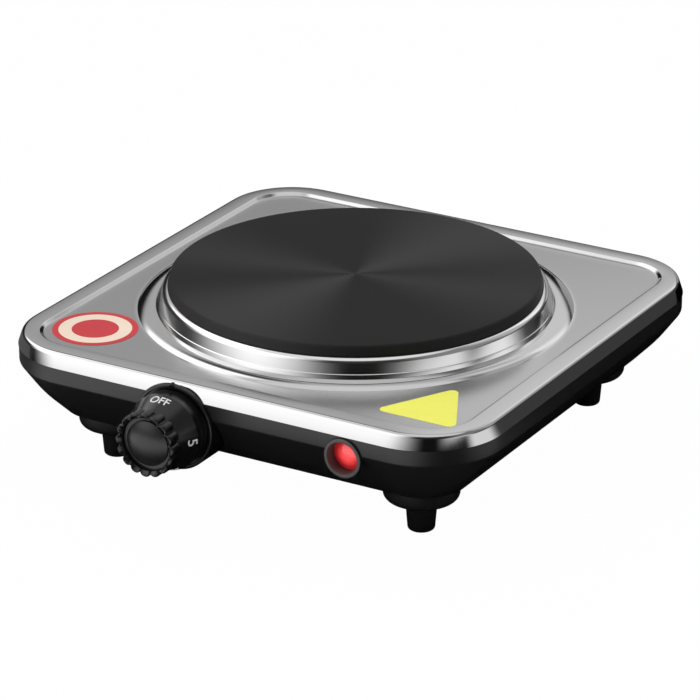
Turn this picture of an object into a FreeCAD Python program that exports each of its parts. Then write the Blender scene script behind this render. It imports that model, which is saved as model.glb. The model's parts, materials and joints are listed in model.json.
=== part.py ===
import FreeCAD, Part
import math
import os

V = FreeCAD.Vector

# A hot plate with one cast iron burner, in millimetres. +Z is up and the front faces -Y.
# Z = 0 is the surface under the feet, and X = 0 is the middle of the body.

# Layers, from the surface up
FOOT_POST_HEIGHT = 16.0
FOOT_COLLAR_HEIGHT = 10.3
SLOPE_HEIGHT = 26.2
BAND_HEIGHT = 8.0
SKIRT_HEIGHT = 7.0
PLATE_RISE = 14.85        # burner face above the rim

# Top cover, pressed from stainless sheet
SHEET = 0.6
SKIRT_WIDTH = 260.8       # across the lower edge of the skirt
SKIRT_CORNER = 40.0
SKIRT_LEAN = 3.1          # how far the skirt leans in on each side
RIM_CORNER = 35.0
RIM_ROUND = 3.0
RIM_WIDTH = 9.5
STEP_RUN = 1.6
PANEL_DROP = 1.6
PANEL_CORNER = 21.0
BOSS_RISE = 2.1
BOSS_ROUND = 13.0
BOSS_LAND = 1.7           # bare top of the boss outside the trim ring
COVER_LIP = 12.4          # boss inside the trim ring's edge, up to the hole

# Burner plate and what is in it
PLATE_DIAMETER = 185.0
PLATE_FLANK = 5.2
PLATE_FLANK_LEAN = 1.3
PLATE_ROUND = 1.2
PLATE_THICKNESS = 12.0
PLATE_LEDGE = 3.2
GROOVE_RADII = (36.0, 53.0, 70.0)
GROOVE_WIDTH = 9.0
GROOVE_DEPTH = 9.0
COIL_RADIUS = 2.6
COIL_SWEEP = 330.0
COIL_DEPTH = 5.0          # coil axis above the plate's underside
STUD_RADIUS = 4.0
STUD_BITE = 8.0
STUD_LENGTH = 40.0
STUD_CLEARANCE = 0.3

# Trim ring round the burner
RING_SHEET = 0.8
RING_TUCK = 1.9           # round shoulder starts this far inside the plate's edge
RING_SHOULDER = 5.5
RING_LEAN_ANGLE = 21.0    # wall under the shoulder, from upright
RING_LEDGE = 0.6
RING_LEDGE_HEIGHT = 2.3   # ledge above the boss
RING_FOOT_LEAN = 0.3
RING_FLANGE = 0.5
RING_SEAT_GAP = 0.5

# Closing dish, strap and heat shield under the plate
DISH_SHEET = 0.6
DISH_RADIUS = 84.0
DISH_FLANGE = 5.0
DISH_DEPTH = 6.0
DISH_LEAN = 4.0
STRAP_SHEET = 2.0
STRAP_WIDTH = 28.0
STRAP_GRIP = 8.0
STRAP_DROP = 12.0
STRAP_RUN = 12.0
STRAP_TUCK = 3.0          # bend of the strap inside the edge of the cover's hole
SHIELD_SHEET = 0.5
SHIELD_RADIUS = 70.0
SHIELD_EDGE = 4.0
NUT_ACROSS = 13.0
NUT_HEIGHT = 5.0
WASHER_RADIUS = 9.0
WASHER_SHEET = 1.6

# Base pan, moulded
BASE_REVEAL = 0.2         # base band stands this far inside the skirt
BASE_WALL = 2.8
BASE_FLOOR = 2.2
BASE_CORNER = 40.0
FLOOR_CORNER = 20.0
SLOPE_RUN = 21.7
TONGUE_HEIGHT = 2.5
TONGUE_WALL = 1.2
TONGUE_GAP = 0.3
VENT_COUNT = 9
VENT_PITCH = 14.0
VENT_WIDTH = 4.0
VENT_LENGTH = 60.0

# Feet
FOOT_INSET = 23.0         # from the edge of the floor to the foot's axis
FOOT_COLLAR_RADIUS = 18.4
FOOT_COLLAR_ROUND = 4.0
FOOT_POST_TOP = 7.8
FOOT_POST_TIP = 6.5
FOOT_TIP_ROUND = 1.5

# Screws: pan heads, with the hole clearance used wherever one passes
SCREW_RADIUS = 1.9
SCREW_HEAD = 3.7
SCREW_HEAD_HEIGHT = 2.4
SCREW_GAP = 0.1
FOOT_SCREW_LENGTH = 12.0

# Pillars in the base and tabs under the cover, which the base screws join
PILLAR_INSET = 9.5
PILLAR_RADIUS = 5.4
PILLAR_TOP_GAP = 7.3      # from the pillar's top to the underside of the panel
PILLAR_CAP = 9.0
TAB_SHEET = 1.2
TAB_WIDTH = 12.0
TAB_LENGTH = 12.0
TAB_CLEARANCE = 0.5       # line of a tab's inner corner clear of the boss
TAB_BEARING = 36.0        # bearing at which that line passes the boss
BASE_SCREW_TAIL = 3.0

# Knob, escutcheon and spindle on one axis towards the front
KNOB_X = -22.5
KNOB_DROP = 21.5          # axis below the rim
ESCUTCHEON_STAND = 2.1    # front face ahead of the skirt's lower edge
ESCUTCHEON_RADIUS = 21.5
ESCUTCHEON_WALL = 1.8
ESCUTCHEON_SINK = 2.5     # floor behind the front face
ESCUTCHEON_GAP = 0.4      # clear of the skirt
NUB_WIDTH = 3.6
NUB_TIP = 0.8             # width of the nub's top
NUB_RISE = 1.3
NUB_DEPTH = 1.6
DIAL_RADIUS = 19.0
DIAL_REAR_RADIUS = 18.4
DIAL_REAR = 1.4           # dial edge reaches this far into the escutcheon
DIAL_EDGE = 7.4           # widest edge ahead of the escutcheon
DIAL_EDGE_LAND = 0.8
DIAL_WALL = 2.0
CONE_FRONT = 20.5
GRIP_RADIUS = 15.4
GRIP_CORE = 13.9
GRIP_LOBES = 16
GRIP_FRONT = 25.0
GRIP_CHAMFER = 1.2
CAP_RADIUS = 12.6
CAP_SEAT = 2.0
CAP_EDGE = 0.3
CAP_CROWN = 2.1
CAP_GAP = 0.1
HUB_RADIUS = 6.2
SPINDLE_RADIUS = 3.0
SPINDLE_GAP = 0.05
SPINDLE_FLAT = 1.2
SPINDLE_FLAT_LENGTH = 12.0
SPINDLE_TO_FRONT = 6.0    # spindle's end behind the grip's front
SPINDLE_HOLE = 5.2        # hole for the spindle in the base and escutcheon
LEAF_SHEET = 0.35
LEAF_WIDTH = 3.6
LEAF_LENGTH = 9.0

# Thermostat behind the front wall
BRACKET_SETBACK = 27.0    # bracket's front face behind the skirt's lower edge
BRACKET_SHEET = 1.5
BRACKET_WIDTH = 56.0
BRACKET_SHIFT = 11.0      # middle of the bracket, to the right of the spindle
BRACKET_TOP = 10.0        # above the spindle's axis
BRACKET_FOOT = 16.0
BRACKET_SCREW_SPREAD = 20.0
BUSH_RADIUS = 5.0
BUSH_FLANGE_RADIUS = 7.0
BUSH_FLANGE = 2.0
BUSH_NOSE = 9.0
BUSH_FIT = 0.05
BUSH_NUT_ACROSS = 14.0
BUSH_NUT_HEIGHT = 3.0
COLLAR_RADIUS = 4.5
COLLAR_LENGTH = 1.5
COLLAR_GAP = 0.1
TIP_RADIUS = 1.5
TIP_LENGTH = 1.5
TIP_GAP = 0.3
STACK_OFFSET = 22.0       # rivet to the right of the spindle
STACK_RADIUS = 6.0
STACK_GAPS = (4.0, 3.4, 2.6)
RIVET_RADIUS = 2.0
RIVET_GAP = 0.1
RIVET_HEAD = 3.6
RIVET_HEAD_HEIGHT = 1.2
BLADE_SHEET = 0.6
BLADE_WIDTH = 8.0
BLADE_REACH = 12.0        # past the spindle
BLADE_TAIL = 12.0         # past the rivet, as a terminal
BLADE_TAIL_STEP = 5.0     # each blade's terminal is longer than the one in front
CONTACT_RADIUS = 2.4
CONTACT_OPENING = 0.6

# Pilot lamp
LAMP_X = 69.0
LAMP_DROP = 17.5
LAMP_STAND = 1.2          # bezel ahead of the skirt's lower edge
BEZEL_RADIUS = 9.8
BEZEL_WALL = 1.9
BEZEL_LENGTH = 26.0
BEZEL_FIT = 0.1
BEZEL_ROUND = 0.6
LENS_SINK = 5.0
LENS_CROWN = 1.6
LENS_WALL = 1.6
LENS_LENGTH = 14.0
LENS_FIT = 0.1
NEON_RADIUS = 3.0
NEON_LENGTH = 7.0
HOLDER_LENGTH = 6.0
HOLDER_STEM = 2.0
RETAINER_SHEET = 1.0
RETAINER_REACH = 3.0
RETAINER_SETBACK = 19.0   # behind the bezel's front

# Cord gland in the rear wall
GLAND_X = 70.0
GLAND_RISE = 13.1         # above the base's underside
GLAND_BORE = 3.6
GLAND_RADIUS = 5.6
GLAND_FIT = 0.05
GLAND_FLANGE_RADIUS = 7.6
GLAND_FLANGE = 2.2
GLAND_LIP_RADIUS = 6.4
GLAND_LIP = 1.8

# Terminal block and wires
BLOCK_X = 44.0
BLOCK_Y = 72.0
BLOCK_SIZE = (36.0, 18.0, 14.0)
BLOCK_POLES = 3
BLOCK_PITCH = 11.0
BLOCK_BORE = 2.0
TERMINAL_SCREW_RADIUS = 1.6
TERMINAL_SCREW_LENGTH = 4.0
TERMINAL_HEAD = 2.6
TERMINAL_HEAD_HEIGHT = 1.2
WIRE_RADIUS = 1.2
WIRE_BEND = 8.0
WIRE_RISE = 5.0           # run of the wires above the floor

# Places worked out from the sizes
Z_COLLAR = FOOT_POST_HEIGHT
Z_BASE = Z_COLLAR + FOOT_COLLAR_HEIGHT
Z_FLOOR = Z_BASE + BASE_FLOOR
Z_BAND = Z_BASE + SLOPE_HEIGHT
Z_SKIRT = Z_BAND + BAND_HEIGHT
Z_RIM = Z_SKIRT + SKIRT_HEIGHT
Z_PANEL = Z_RIM - PANEL_DROP
Z_BOSS = Z_PANEL + BOSS_RISE
Z_PLATE = Z_RIM + PLATE_RISE
Z_SEAT = Z_PLATE - PLATE_FLANK
Z_UNDER = Z_PLATE - PLATE_THICKNESS
Z_DISH = Z_UNDER - DISH_SHEET - DISH_DEPTH
Z_COVER_UNDER = Z_BOSS - SHEET
Z_STRAP = Z_COVER_UNDER - STRAP_DROP
Z_KNOB = Z_RIM - KNOB_DROP
Z_LAMP = Z_RIM - LAMP_DROP
Z_PILLAR = Z_PANEL - SHEET - PILLAR_TOP_GAP
Z_WIRE = Z_FLOOR + WIRE_RISE

SKIRT_HALF = SKIRT_WIDTH / 2
RIM_HALF = SKIRT_HALF - SKIRT_LEAN
PANEL_HALF = RIM_HALF - RIM_WIDTH - STEP_RUN
BAND_HALF = SKIRT_HALF - BASE_REVEAL
FLOOR_HALF = BAND_HALF - SLOPE_RUN
FOOT_PLACE = FLOOR_HALF - FOOT_INSET
PILLAR_X = FLOOR_HALF - PILLAR_INSET
FRONT = -SKIRT_HALF

PLATE_RADIUS = PLATE_DIAMETER / 2
Z_LEDGE = Z_BOSS + RING_LEDGE_HEIGHT
Z_SHOULDER = Z_SEAT - RING_SHOULDER
SHOULDER_IN = PLATE_RADIUS - RING_TUCK
LEAN = math.radians(RING_LEAN_ANGLE)
WALL_TOP = Z_SHOULDER + RING_SHOULDER * math.sin(LEAN)
LEDGE_IN = SHOULDER_IN + RING_SHOULDER * math.cos(LEAN) + (WALL_TOP - Z_LEDGE) * math.tan(LEAN)
LEDGE_OUT = LEDGE_IN + RING_LEDGE
RING_FOOT = LEDGE_OUT + RING_FOOT_LEAN
FLANGE_OUT = RING_FOOT + RING_FLANGE
BOSS_FLAT = FLANGE_OUT + BOSS_LAND
BOSS_OUT = BOSS_FLAT + math.sqrt(BOSS_ROUND**2 - (BOSS_ROUND - BOSS_RISE)**2)
COVER_HOLE = FLANGE_OUT - COVER_LIP
TAB_IN = PILLAR_X - TAB_LENGTH / 2
TAB_REACH = BOSS_OUT + TAB_CLEARANCE
TAB_TURN = math.radians(TAB_BEARING)
PILLAR_Y = (TAB_REACH - TAB_IN * math.cos(TAB_TURN)) / math.sin(TAB_TURN) + TAB_WIDTH / 2
PLATE_BODY = PLATE_RADIUS - PLATE_LEDGE
LIP_IN = PLATE_BODY + RING_SEAT_GAP

Y_ESCUTCHEON = FRONT - ESCUTCHEON_STAND
Y_KNOB = Y_ESCUTCHEON - GRIP_FRONT + CAP_SEAT - CAP_EDGE - CAP_CROWN
Y_BRACKET = FRONT + BRACKET_SETBACK
Y_STACK = Y_BRACKET + BRACKET_SHEET
Y_COLLAR = Y_STACK + BUSH_FLANGE + COLLAR_GAP
Y_TIP = Y_COLLAR + COLLAR_LENGTH + TIP_LENGTH
Y_BLADES = Y_TIP + TIP_GAP
Y_LAMP = FRONT - LAMP_STAND
STACK_X = KNOB_X + STACK_OFFSET
SLOPE_ANGLE = math.degrees(math.atan2(SLOPE_RUN, SLOPE_HEIGHT))

# The frame stands under the middle of the whole outline, knob included
FRAME_Y = -(Y_KNOB + SKIRT_HALF) / 2

CORNERS = [(sx, sy) for sx in (-1, 1) for sy in (-1, 1)]


def rounded_square(half, corner, height):
    """Closed outline of a square with round corners at one height."""
    flat = half - corner
    bulge = flat + corner * math.sqrt(0.5)
    edges = []
    for turn in range(4):
        side = Part.LineSegment(V(half, -flat, height), V(half, flat, height)).toShape()
        bend = Part.Arc(V(half, flat, height), V(bulge, bulge, height), V(flat, half, height)).toShape()
        for edge in (side, bend):
            edge.rotate(V(0, 0, 0), V(0, 0, 1), 90 * turn)
            edges.append(edge)
    return Part.Wire(edges)


def slab(half, corner, low, high):
    """Upright solid on a rounded square."""
    return Part.Face(rounded_square(half, corner, low)).extrude(V(0, 0, high - low))


def taper(low_half, low_corner, low, high_half, high_corner, high):
    """Solid between two rounded squares."""
    return Part.makeLoft(
        [rounded_square(low_half, low_corner, low), rounded_square(high_half, high_corner, high)], True, True
    )


def outline(points):
    """Closed wire through (a, b) points in the XZ plane; a third value marks an arc's middle point."""
    edges = []
    count = len(points)
    place = 0
    while place < count:
        start = points[place]
        middle = points[(place + 1) % count]
        if len(middle) == 3:
            end = points[(place + 2) % count]
            curve = Part.Arc(V(start[0], 0, start[1]), V(middle[0], 0, middle[1]), V(end[0], 0, end[1]))
            place += 2
        else:
            curve = Part.LineSegment(V(start[0], 0, start[1]), V(middle[0], 0, middle[1]))
            place += 1
        edges.append(curve.toShape())
    return Part.Wire(edges)


def turned(points):
    """Solid of revolution about Z from a closed (radius, height) outline."""
    return Part.Face(outline(points)).revolve(V(0, 0, 0), V(0, 0, 1), 360)


def disc(radius, low, high, x=0, y=0):
    """Upright cylinder between two heights."""
    return Part.makeCylinder(radius, high - low, V(x, y, low))


def box(x_low, x_high, y_low, y_high, z_low, z_high):
    """Block between two corners."""
    return Part.makeBox(x_high - x_low, y_high - y_low, z_high - z_low, V(x_low, y_low, z_low))


def rod(radius, rear, front, x, z):
    """Cylinder along Y between two places."""
    return Part.makeCylinder(radius, front - rear, V(x, rear, z), V(0, 1, 0))


def hexagon(across, low, high):
    """Upright hexagonal prism."""
    reach = across / 2 / math.cos(math.pi / 6)
    corners = [V(reach * math.cos(k * math.pi / 3), reach * math.sin(k * math.pi / 3), low) for k in range(7)]
    return Part.Face(Part.makePolygon(corners)).extrude(V(0, 0, high - low))


def to_front(shape, x, y, z):
    """Turn a piece made about +Z so that it points to the front, and put it at a place."""
    turned_piece = shape.copy()
    turned_piece.rotate(V(0, 0, 0), V(1, 0, 0), 90)
    turned_piece.translate(V(x, y, z))
    return turned_piece


def pan_screw(length):
    """Screw with its head's underside at Z = 0 and its shank down."""
    head = disc(SCREW_HEAD, 0, SCREW_HEAD_HEIGHT)
    rim = [edge for edge in head.Edges if edge.BoundBox.ZMin > SCREW_HEAD_HEIGHT / 2]
    head = head.makeFillet(SCREW_HEAD_HEIGHT / 2, rim)
    return head.fuse(disc(SCREW_RADIUS, -length, 0)).removeSplitter()


def placed(shape, x, y, z):
    """Copy of a piece moved to a place."""
    copy = shape.copy()
    copy.translate(V(x, y, z))
    return copy


def boss(shrink):
    """Round boss pressed up under the trim ring, moved inwards by the sheet."""
    radius = BOSS_ROUND - shrink
    centre = Z_BOSS - BOSS_ROUND
    spread = math.acos(1 - BOSS_RISE / radius)
    return turned([
        (0, Z_PANEL - shrink),
        (BOSS_FLAT + radius * math.sin(spread), Z_PANEL - shrink),
        (BOSS_FLAT + radius * math.sin(spread / 2), centre + radius * math.cos(spread / 2), "arc"),
        (BOSS_FLAT, Z_BOSS - shrink),
        (0, Z_BOSS - shrink),
    ])


def cover_form(shrink):
    """Solid under the cover's skin, moved inwards by the sheet."""
    top = Z_RIM - shrink
    form = taper(
        SKIRT_HALF - shrink, SKIRT_CORNER - shrink, Z_SKIRT,
        RIM_HALF - shrink, RIM_CORNER - shrink, top,
    )
    rim = [edge for edge in form.Edges if edge.BoundBox.ZMin > top - SHEET / 2]
    form = form.makeFillet(RIM_ROUND - shrink, rim)
    pocket = taper(
        PANEL_HALF + shrink, PANEL_CORNER + shrink, Z_PANEL - shrink,
        PANEL_HALF + STEP_RUN + shrink, PANEL_CORNER + STEP_RUN + shrink, top,
    )
    return form.cut(pocket).fuse(boss(shrink))


def top_cover():
    """Pressed cover: leaning skirt, round rim, stepped panel and round boss with the burner's hole."""
    shell = cover_form(0).cut(cover_form(SHEET))
    return shell.cut(disc(COVER_HOLE, Z_BASE, Z_PLATE))


def shoulder_point(radius, turn):
    """Place on the trim ring's shoulder at an angle from level."""
    return (SHOULDER_IN + radius * math.cos(turn), Z_SHOULDER + radius * math.sin(turn))


def trim_ring():
    """Bright ring: round shoulder that carries the burner's edge, leaning wall, ledge and flat foot."""
    half_way = (LEAN + math.pi / 2) / 2
    inner = RING_SHOULDER - RING_SHEET
    return turned([
        (LIP_IN, Z_SEAT),
        (SHOULDER_IN, Z_SEAT),
        (*shoulder_point(RING_SHOULDER, half_way), "arc"),
        shoulder_point(RING_SHOULDER, LEAN),
        (LEDGE_IN, Z_LEDGE),
        (LEDGE_OUT, Z_LEDGE - RING_SHEET / 2),
        (RING_FOOT, Z_BOSS + RING_SHEET),
        (FLANGE_OUT, Z_BOSS + RING_SHEET),
        (FLANGE_OUT, Z_BOSS),
        (RING_FOOT - RING_SHEET, Z_BOSS),
        (LEDGE_OUT - RING_SHEET, Z_LEDGE - 1.5 * RING_SHEET),
        (LEDGE_IN - RING_SHEET, Z_LEDGE - RING_SHEET),
        shoulder_point(inner, LEAN),
        (*shoulder_point(inner, half_way), "arc"),
        (SHOULDER_IN, Z_SEAT - RING_SHEET),
        (LIP_IN, Z_SEAT - RING_SHEET),
    ])


def heating_plate():
    """Cast iron plate: rounded flank, seat on the ring, coil grooves and a blind hole for the stud."""
    crown = PLATE_RADIUS - PLATE_FLANK_LEAN
    soft = PLATE_ROUND * (1 - math.sqrt(0.5))
    points = [
        (0, Z_PLATE),
        (crown - PLATE_ROUND, Z_PLATE),
        (crown - soft, Z_PLATE - soft, "arc"),
        (crown, Z_PLATE - PLATE_ROUND),
        (PLATE_RADIUS, Z_SEAT),
        (PLATE_BODY, Z_SEAT),
        (PLATE_BODY, Z_UNDER),
    ]
    for radius in reversed(GROOVE_RADII):
        outer = radius + GROOVE_WIDTH / 2
        inner = radius - GROOVE_WIDTH / 2
        points += [(outer, Z_UNDER), (outer, Z_UNDER + GROOVE_DEPTH)]
        points += [(inner, Z_UNDER + GROOVE_DEPTH), (inner, Z_UNDER)]
    hole = STUD_RADIUS + SPINDLE_GAP
    points += [(hole, Z_UNDER), (hole, Z_UNDER + STUD_BITE), (0, Z_UNDER + STUD_BITE)]
    return turned(points)


def coil_ring(radius):
    """One open loop of the heating coil."""
    height = Z_UNDER + COIL_DEPTH
    circle = Part.Circle(V(radius, 0, height), V(0, 1, 0), COIL_RADIUS).toShape()
    return Part.Face(Part.Wire([circle])).revolve(V(0, 0, 0), V(0, 0, 1), COIL_SWEEP)


def heating_coil():
    """Resistance coil, one loop in each groove."""
    return Part.makeCompound([coil_ring(radius) for radius in GROOVE_RADII])


def ceramic_fill():
    """Magnesia rammed round the coil in each groove."""
    rings = []
    for radius in GROOVE_RADII:
        inner = radius - GROOVE_WIDTH / 2
        outer = radius + GROOVE_WIDTH / 2
        top = Z_UNDER + GROOVE_DEPTH
        ring = turned([(inner, Z_UNDER), (outer, Z_UNDER), (outer, top), (inner, top)])
        rings.append(ring.cut(coil_ring(radius)))
    return Part.makeCompound(rings)


def element_cover():
    """Sheet dish that closes the plate's underside."""
    hole = STUD_RADIUS + STUD_CLEARANCE
    shoulder = DISH_RADIUS - DISH_FLANGE
    floor = shoulder - DISH_LEAN
    return turned([
        (hole, Z_DISH + DISH_SHEET),
        (floor, Z_DISH + DISH_SHEET),
        (shoulder, Z_UNDER),
        (DISH_RADIUS, Z_UNDER),
        (DISH_RADIUS, Z_UNDER - DISH_SHEET),
        (shoulder, Z_UNDER - DISH_SHEET),
        (floor, Z_DISH),
        (hole, Z_DISH),
    ])


def centre_stud():
    """Stud from the plate down through the dish, shield and strap."""
    top = Z_UNDER + STUD_BITE
    return disc(STUD_RADIUS, top - STUD_LENGTH, top)


def stud_nuts():
    """Nut under the dish and nut under the strap."""
    bore = STUD_RADIUS + SPINDLE_GAP
    nuts = []
    for top in (Z_DISH, Z_STRAP - STRAP_SHEET - WASHER_SHEET):
        nuts.append(hexagon(NUT_ACROSS, top - NUT_HEIGHT, top).cut(disc(bore, top - NUT_HEIGHT, top)))
    return Part.makeCompound(nuts)


def stud_washer():
    """Washer between the strap and its nut."""
    top = Z_STRAP - STRAP_SHEET
    bore = STUD_RADIUS + STUD_CLEARANCE
    return disc(WASHER_RADIUS, top - WASHER_SHEET, top).cut(disc(bore, top - WASHER_SHEET, top))


def plate_strap():
    """Bent strap that hooks under the cover and pulls the plate down on its ring."""
    inner = COVER_HOLE - STRAP_TUCK
    tip = COVER_HOLE + STRAP_GRIP
    low = inner - STRAP_RUN
    right = [(low, Z_STRAP), (inner, Z_COVER_UNDER), (tip, Z_COVER_UNDER)]
    under = [(x, z - STRAP_SHEET) for x, z in right]
    shape = [(-x, z) for x, z in reversed(right)] + right
    shape += list(reversed(under)) + [(-x, z) for x, z in under]
    strap = Part.Face(outline(shape)).extrude(V(0, STRAP_WIDTH, 0))
    strap.translate(V(0, -STRAP_WIDTH / 2, 0))
    return strap.cut(disc(STUD_RADIUS + STUD_CLEARANCE, Z_BASE, Z_RIM))


def heat_shield():
    """Bright sheet on the strap that keeps heat off the base."""
    hole = STUD_RADIUS + STUD_CLEARANCE
    return turned([
        (hole, Z_STRAP),
        (SHIELD_RADIUS, Z_STRAP),
        (SHIELD_RADIUS, Z_STRAP + SHIELD_EDGE),
        (SHIELD_RADIUS - SHIELD_SHEET, Z_STRAP + SHIELD_EDGE),
        (SHIELD_RADIUS - SHIELD_SHEET, Z_STRAP + SHIELD_SHEET),
        (hole, Z_STRAP + SHIELD_SHEET),
    ])


def base_form():
    """Outside of the base: sloping walls under an upright band."""
    slope = taper(FLOOR_HALF, FLOOR_CORNER, Z_BASE, BAND_HALF, BASE_CORNER, Z_BAND)
    return slope.fuse(slab(BAND_HALF, BASE_CORNER, Z_BAND, Z_SKIRT))


def base_hollow():
    """Inside of the base above its floor."""
    slope = taper(
        FLOOR_HALF - BASE_WALL, FLOOR_CORNER - BASE_WALL, Z_BASE,
        BAND_HALF - BASE_WALL, BASE_CORNER - BASE_WALL, Z_BAND,
    )
    band = slab(BAND_HALF - BASE_WALL, BASE_CORNER - BASE_WALL, Z_BAND, Z_SKIRT)
    return slope.fuse(band).common(box(-BAND_HALF, BAND_HALF, -BAND_HALF, BAND_HALF, Z_FLOOR, Z_SKIRT))


def vent_slot(x):
    """Cutter for one round-ended slot through the floor."""
    half = VENT_LENGTH / 2 - VENT_WIDTH / 2
    slot = box(x - VENT_WIDTH / 2, x + VENT_WIDTH / 2, -half, half, Z_BASE, Z_FLOOR)
    for end in (-half, half):
        slot = slot.fuse(disc(VENT_WIDTH / 2, Z_BASE, Z_FLOOR, x, end))
    return slot


def gland_place(shape):
    """Set a piece made about +Z square to the rear wall, its origin on the wall's outside."""
    slope = math.radians(SLOPE_ANGLE)
    normal = V(0, math.cos(slope), -math.sin(slope))
    y = FLOOR_HALF + SLOPE_RUN * GLAND_RISE / SLOPE_HEIGHT
    turn = FreeCAD.Rotation(V(0, 0, 1), normal)
    spot = shape.copy()
    spot.Placement = FreeCAD.Placement(V(GLAND_X, y, Z_BASE + GLAND_RISE), turn)
    return spot


def base_pan():
    """Moulded pan: sloping walls, locating tongue, screw pillars, vents and the holes for other pieces."""
    pan = base_form().cut(base_hollow())
    tongue_lean = SKIRT_LEAN * TONGUE_HEIGHT / SKIRT_HEIGHT
    reach = SHEET + tongue_lean + TONGUE_GAP
    tongue = slab(SKIRT_HALF - reach, SKIRT_CORNER - reach, Z_SKIRT, Z_SKIRT + TONGUE_HEIGHT)
    inset = reach + TONGUE_WALL
    tongue = tongue.cut(slab(SKIRT_HALF - inset, SKIRT_CORNER - inset, Z_SKIRT, Z_SKIRT + TONGUE_HEIGHT))
    pan = pan.fuse(tongue)
    for sx, sy in CORNERS:
        pan = pan.fuse(disc(PILLAR_RADIUS, Z_BASE, Z_PILLAR, sx * PILLAR_X, sy * PILLAR_Y))
    pan = pan.removeSplitter()
    shank = SCREW_RADIUS + SCREW_GAP
    for sx, sy in CORNERS:
        x = sx * PILLAR_X
        y = sy * PILLAR_Y
        pan = pan.cut(disc(SCREW_HEAD + 2 * SCREW_GAP, Z_BASE, Z_PILLAR - PILLAR_CAP, x, y))
        pan = pan.cut(disc(shank, Z_BASE, Z_PILLAR, x, y))
        pan = pan.cut(disc(shank, Z_BASE, Z_FLOOR, sx * FOOT_PLACE, sy * FOOT_PLACE))
    first = -VENT_PITCH * (VENT_COUNT - 1) / 2
    for number in range(VENT_COUNT):
        pan = pan.cut(vent_slot(first + number * VENT_PITCH))
    pan = pan.cut(rod(SPINDLE_HOLE, FRONT, Y_BRACKET, KNOB_X, Z_KNOB))
    pan = pan.cut(rod(BEZEL_RADIUS + BEZEL_FIT, FRONT, FRONT + BEZEL_LENGTH, LAMP_X, Z_LAMP))
    for spread in (-1, 1):
        x = KNOB_X + BRACKET_SHIFT + spread * BRACKET_SCREW_SPREAD
        pan = pan.cut(disc(shank, Z_BASE, Z_FLOOR, x, Y_BRACKET + BRACKET_FOOT / 2))
    return pan.cut(gland_place(disc(GLAND_RADIUS + GLAND_FIT, -2 * BASE_WALL, BASE_WALL)))


def foot(sx, sy):
    """One foot: wide collar with a round lower edge, tapered post and a blind hole for its screw."""
    soft = FOOT_COLLAR_ROUND * (1 - math.sqrt(0.5))
    tip = FOOT_TIP_ROUND * (1 - math.sqrt(0.5))
    hole = SCREW_RADIUS + SCREW_GAP / 2
    depth = Z_BASE - FOOT_SCREW_LENGTH
    shape = turned([
        (hole, Z_BASE),
        (FOOT_COLLAR_RADIUS, Z_BASE),
        (FOOT_COLLAR_RADIUS, Z_COLLAR + FOOT_COLLAR_ROUND),
        (FOOT_COLLAR_RADIUS - soft, Z_COLLAR + soft, "arc"),
        (FOOT_COLLAR_RADIUS - FOOT_COLLAR_ROUND, Z_COLLAR),
        (FOOT_POST_TOP, Z_COLLAR),
        (FOOT_POST_TIP, FOOT_TIP_ROUND),
        (FOOT_POST_TIP - tip, tip, "arc"),
        (FOOT_POST_TIP - FOOT_TIP_ROUND, 0),
        (0, 0),
        (0, depth),
        (hole, depth),
    ])
    return placed(shape, sx * FOOT_PLACE, sy * FOOT_PLACE, 0)


def foot_screws():
    """Screws from inside the base down into the feet."""
    screw = pan_screw(FOOT_SCREW_LENGTH)
    return Part.makeCompound([placed(screw, sx * FOOT_PLACE, sy * FOOT_PLACE, Z_FLOOR) for sx, sy in CORNERS])


def cover_tabs():
    """Bent tabs welded under the panel, each standing on a pillar."""
    top = Z_PANEL - SHEET
    tabs = []
    for sx, sy in CORNERS:
        outer = PILLAR_X + TAB_LENGTH / 2
        shape = [
            (TAB_IN, Z_PILLAR), (outer, Z_PILLAR), (outer, top), (TAB_IN, top), (TAB_IN, top - TAB_SHEET),
            (outer - TAB_SHEET, top - TAB_SHEET), (outer - TAB_SHEET, Z_PILLAR + TAB_SHEET),
            (TAB_IN, Z_PILLAR + TAB_SHEET),
        ]
        tab = Part.Face(outline([(sx * x, z) for x, z in shape])).extrude(V(0, TAB_WIDTH, 0))
        tab.translate(V(0, sy * PILLAR_Y - TAB_WIDTH / 2, 0))
        hole = disc(SCREW_RADIUS + SCREW_GAP, Z_PILLAR, Z_PILLAR + TAB_SHEET, sx * PILLAR_X, sy * PILLAR_Y)
        tabs.append(tab.cut(hole))
    return Part.makeCompound(tabs)


def base_screws():
    """Screws from below, through the pillars into the tabs."""
    screw = pan_screw(PILLAR_CAP + TAB_SHEET + BASE_SCREW_TAIL)
    screw.rotate(V(0, 0, 0), V(1, 0, 0), 180)
    seat = Z_PILLAR - PILLAR_CAP
    return Part.makeCompound([placed(screw, sx * PILLAR_X, sy * PILLAR_Y, seat) for sx, sy in CORNERS])


def grip_outline(height):
    """Lobed outline of the knob's grip."""
    step = math.pi / GRIP_LOBES
    edges = []
    for lobe in range(GRIP_LOBES):
        middle = 2 * step * lobe
        ends = (middle - step, middle + step)
        start, end = [V(GRIP_CORE * math.cos(a), GRIP_CORE * math.sin(a), height) for a in ends]
        peak = V(GRIP_RADIUS * math.cos(middle), GRIP_RADIUS * math.sin(middle), height)
        edges.append(Part.Arc(start, peak, end).toShape())
    return Part.Wire(edges)


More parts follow.
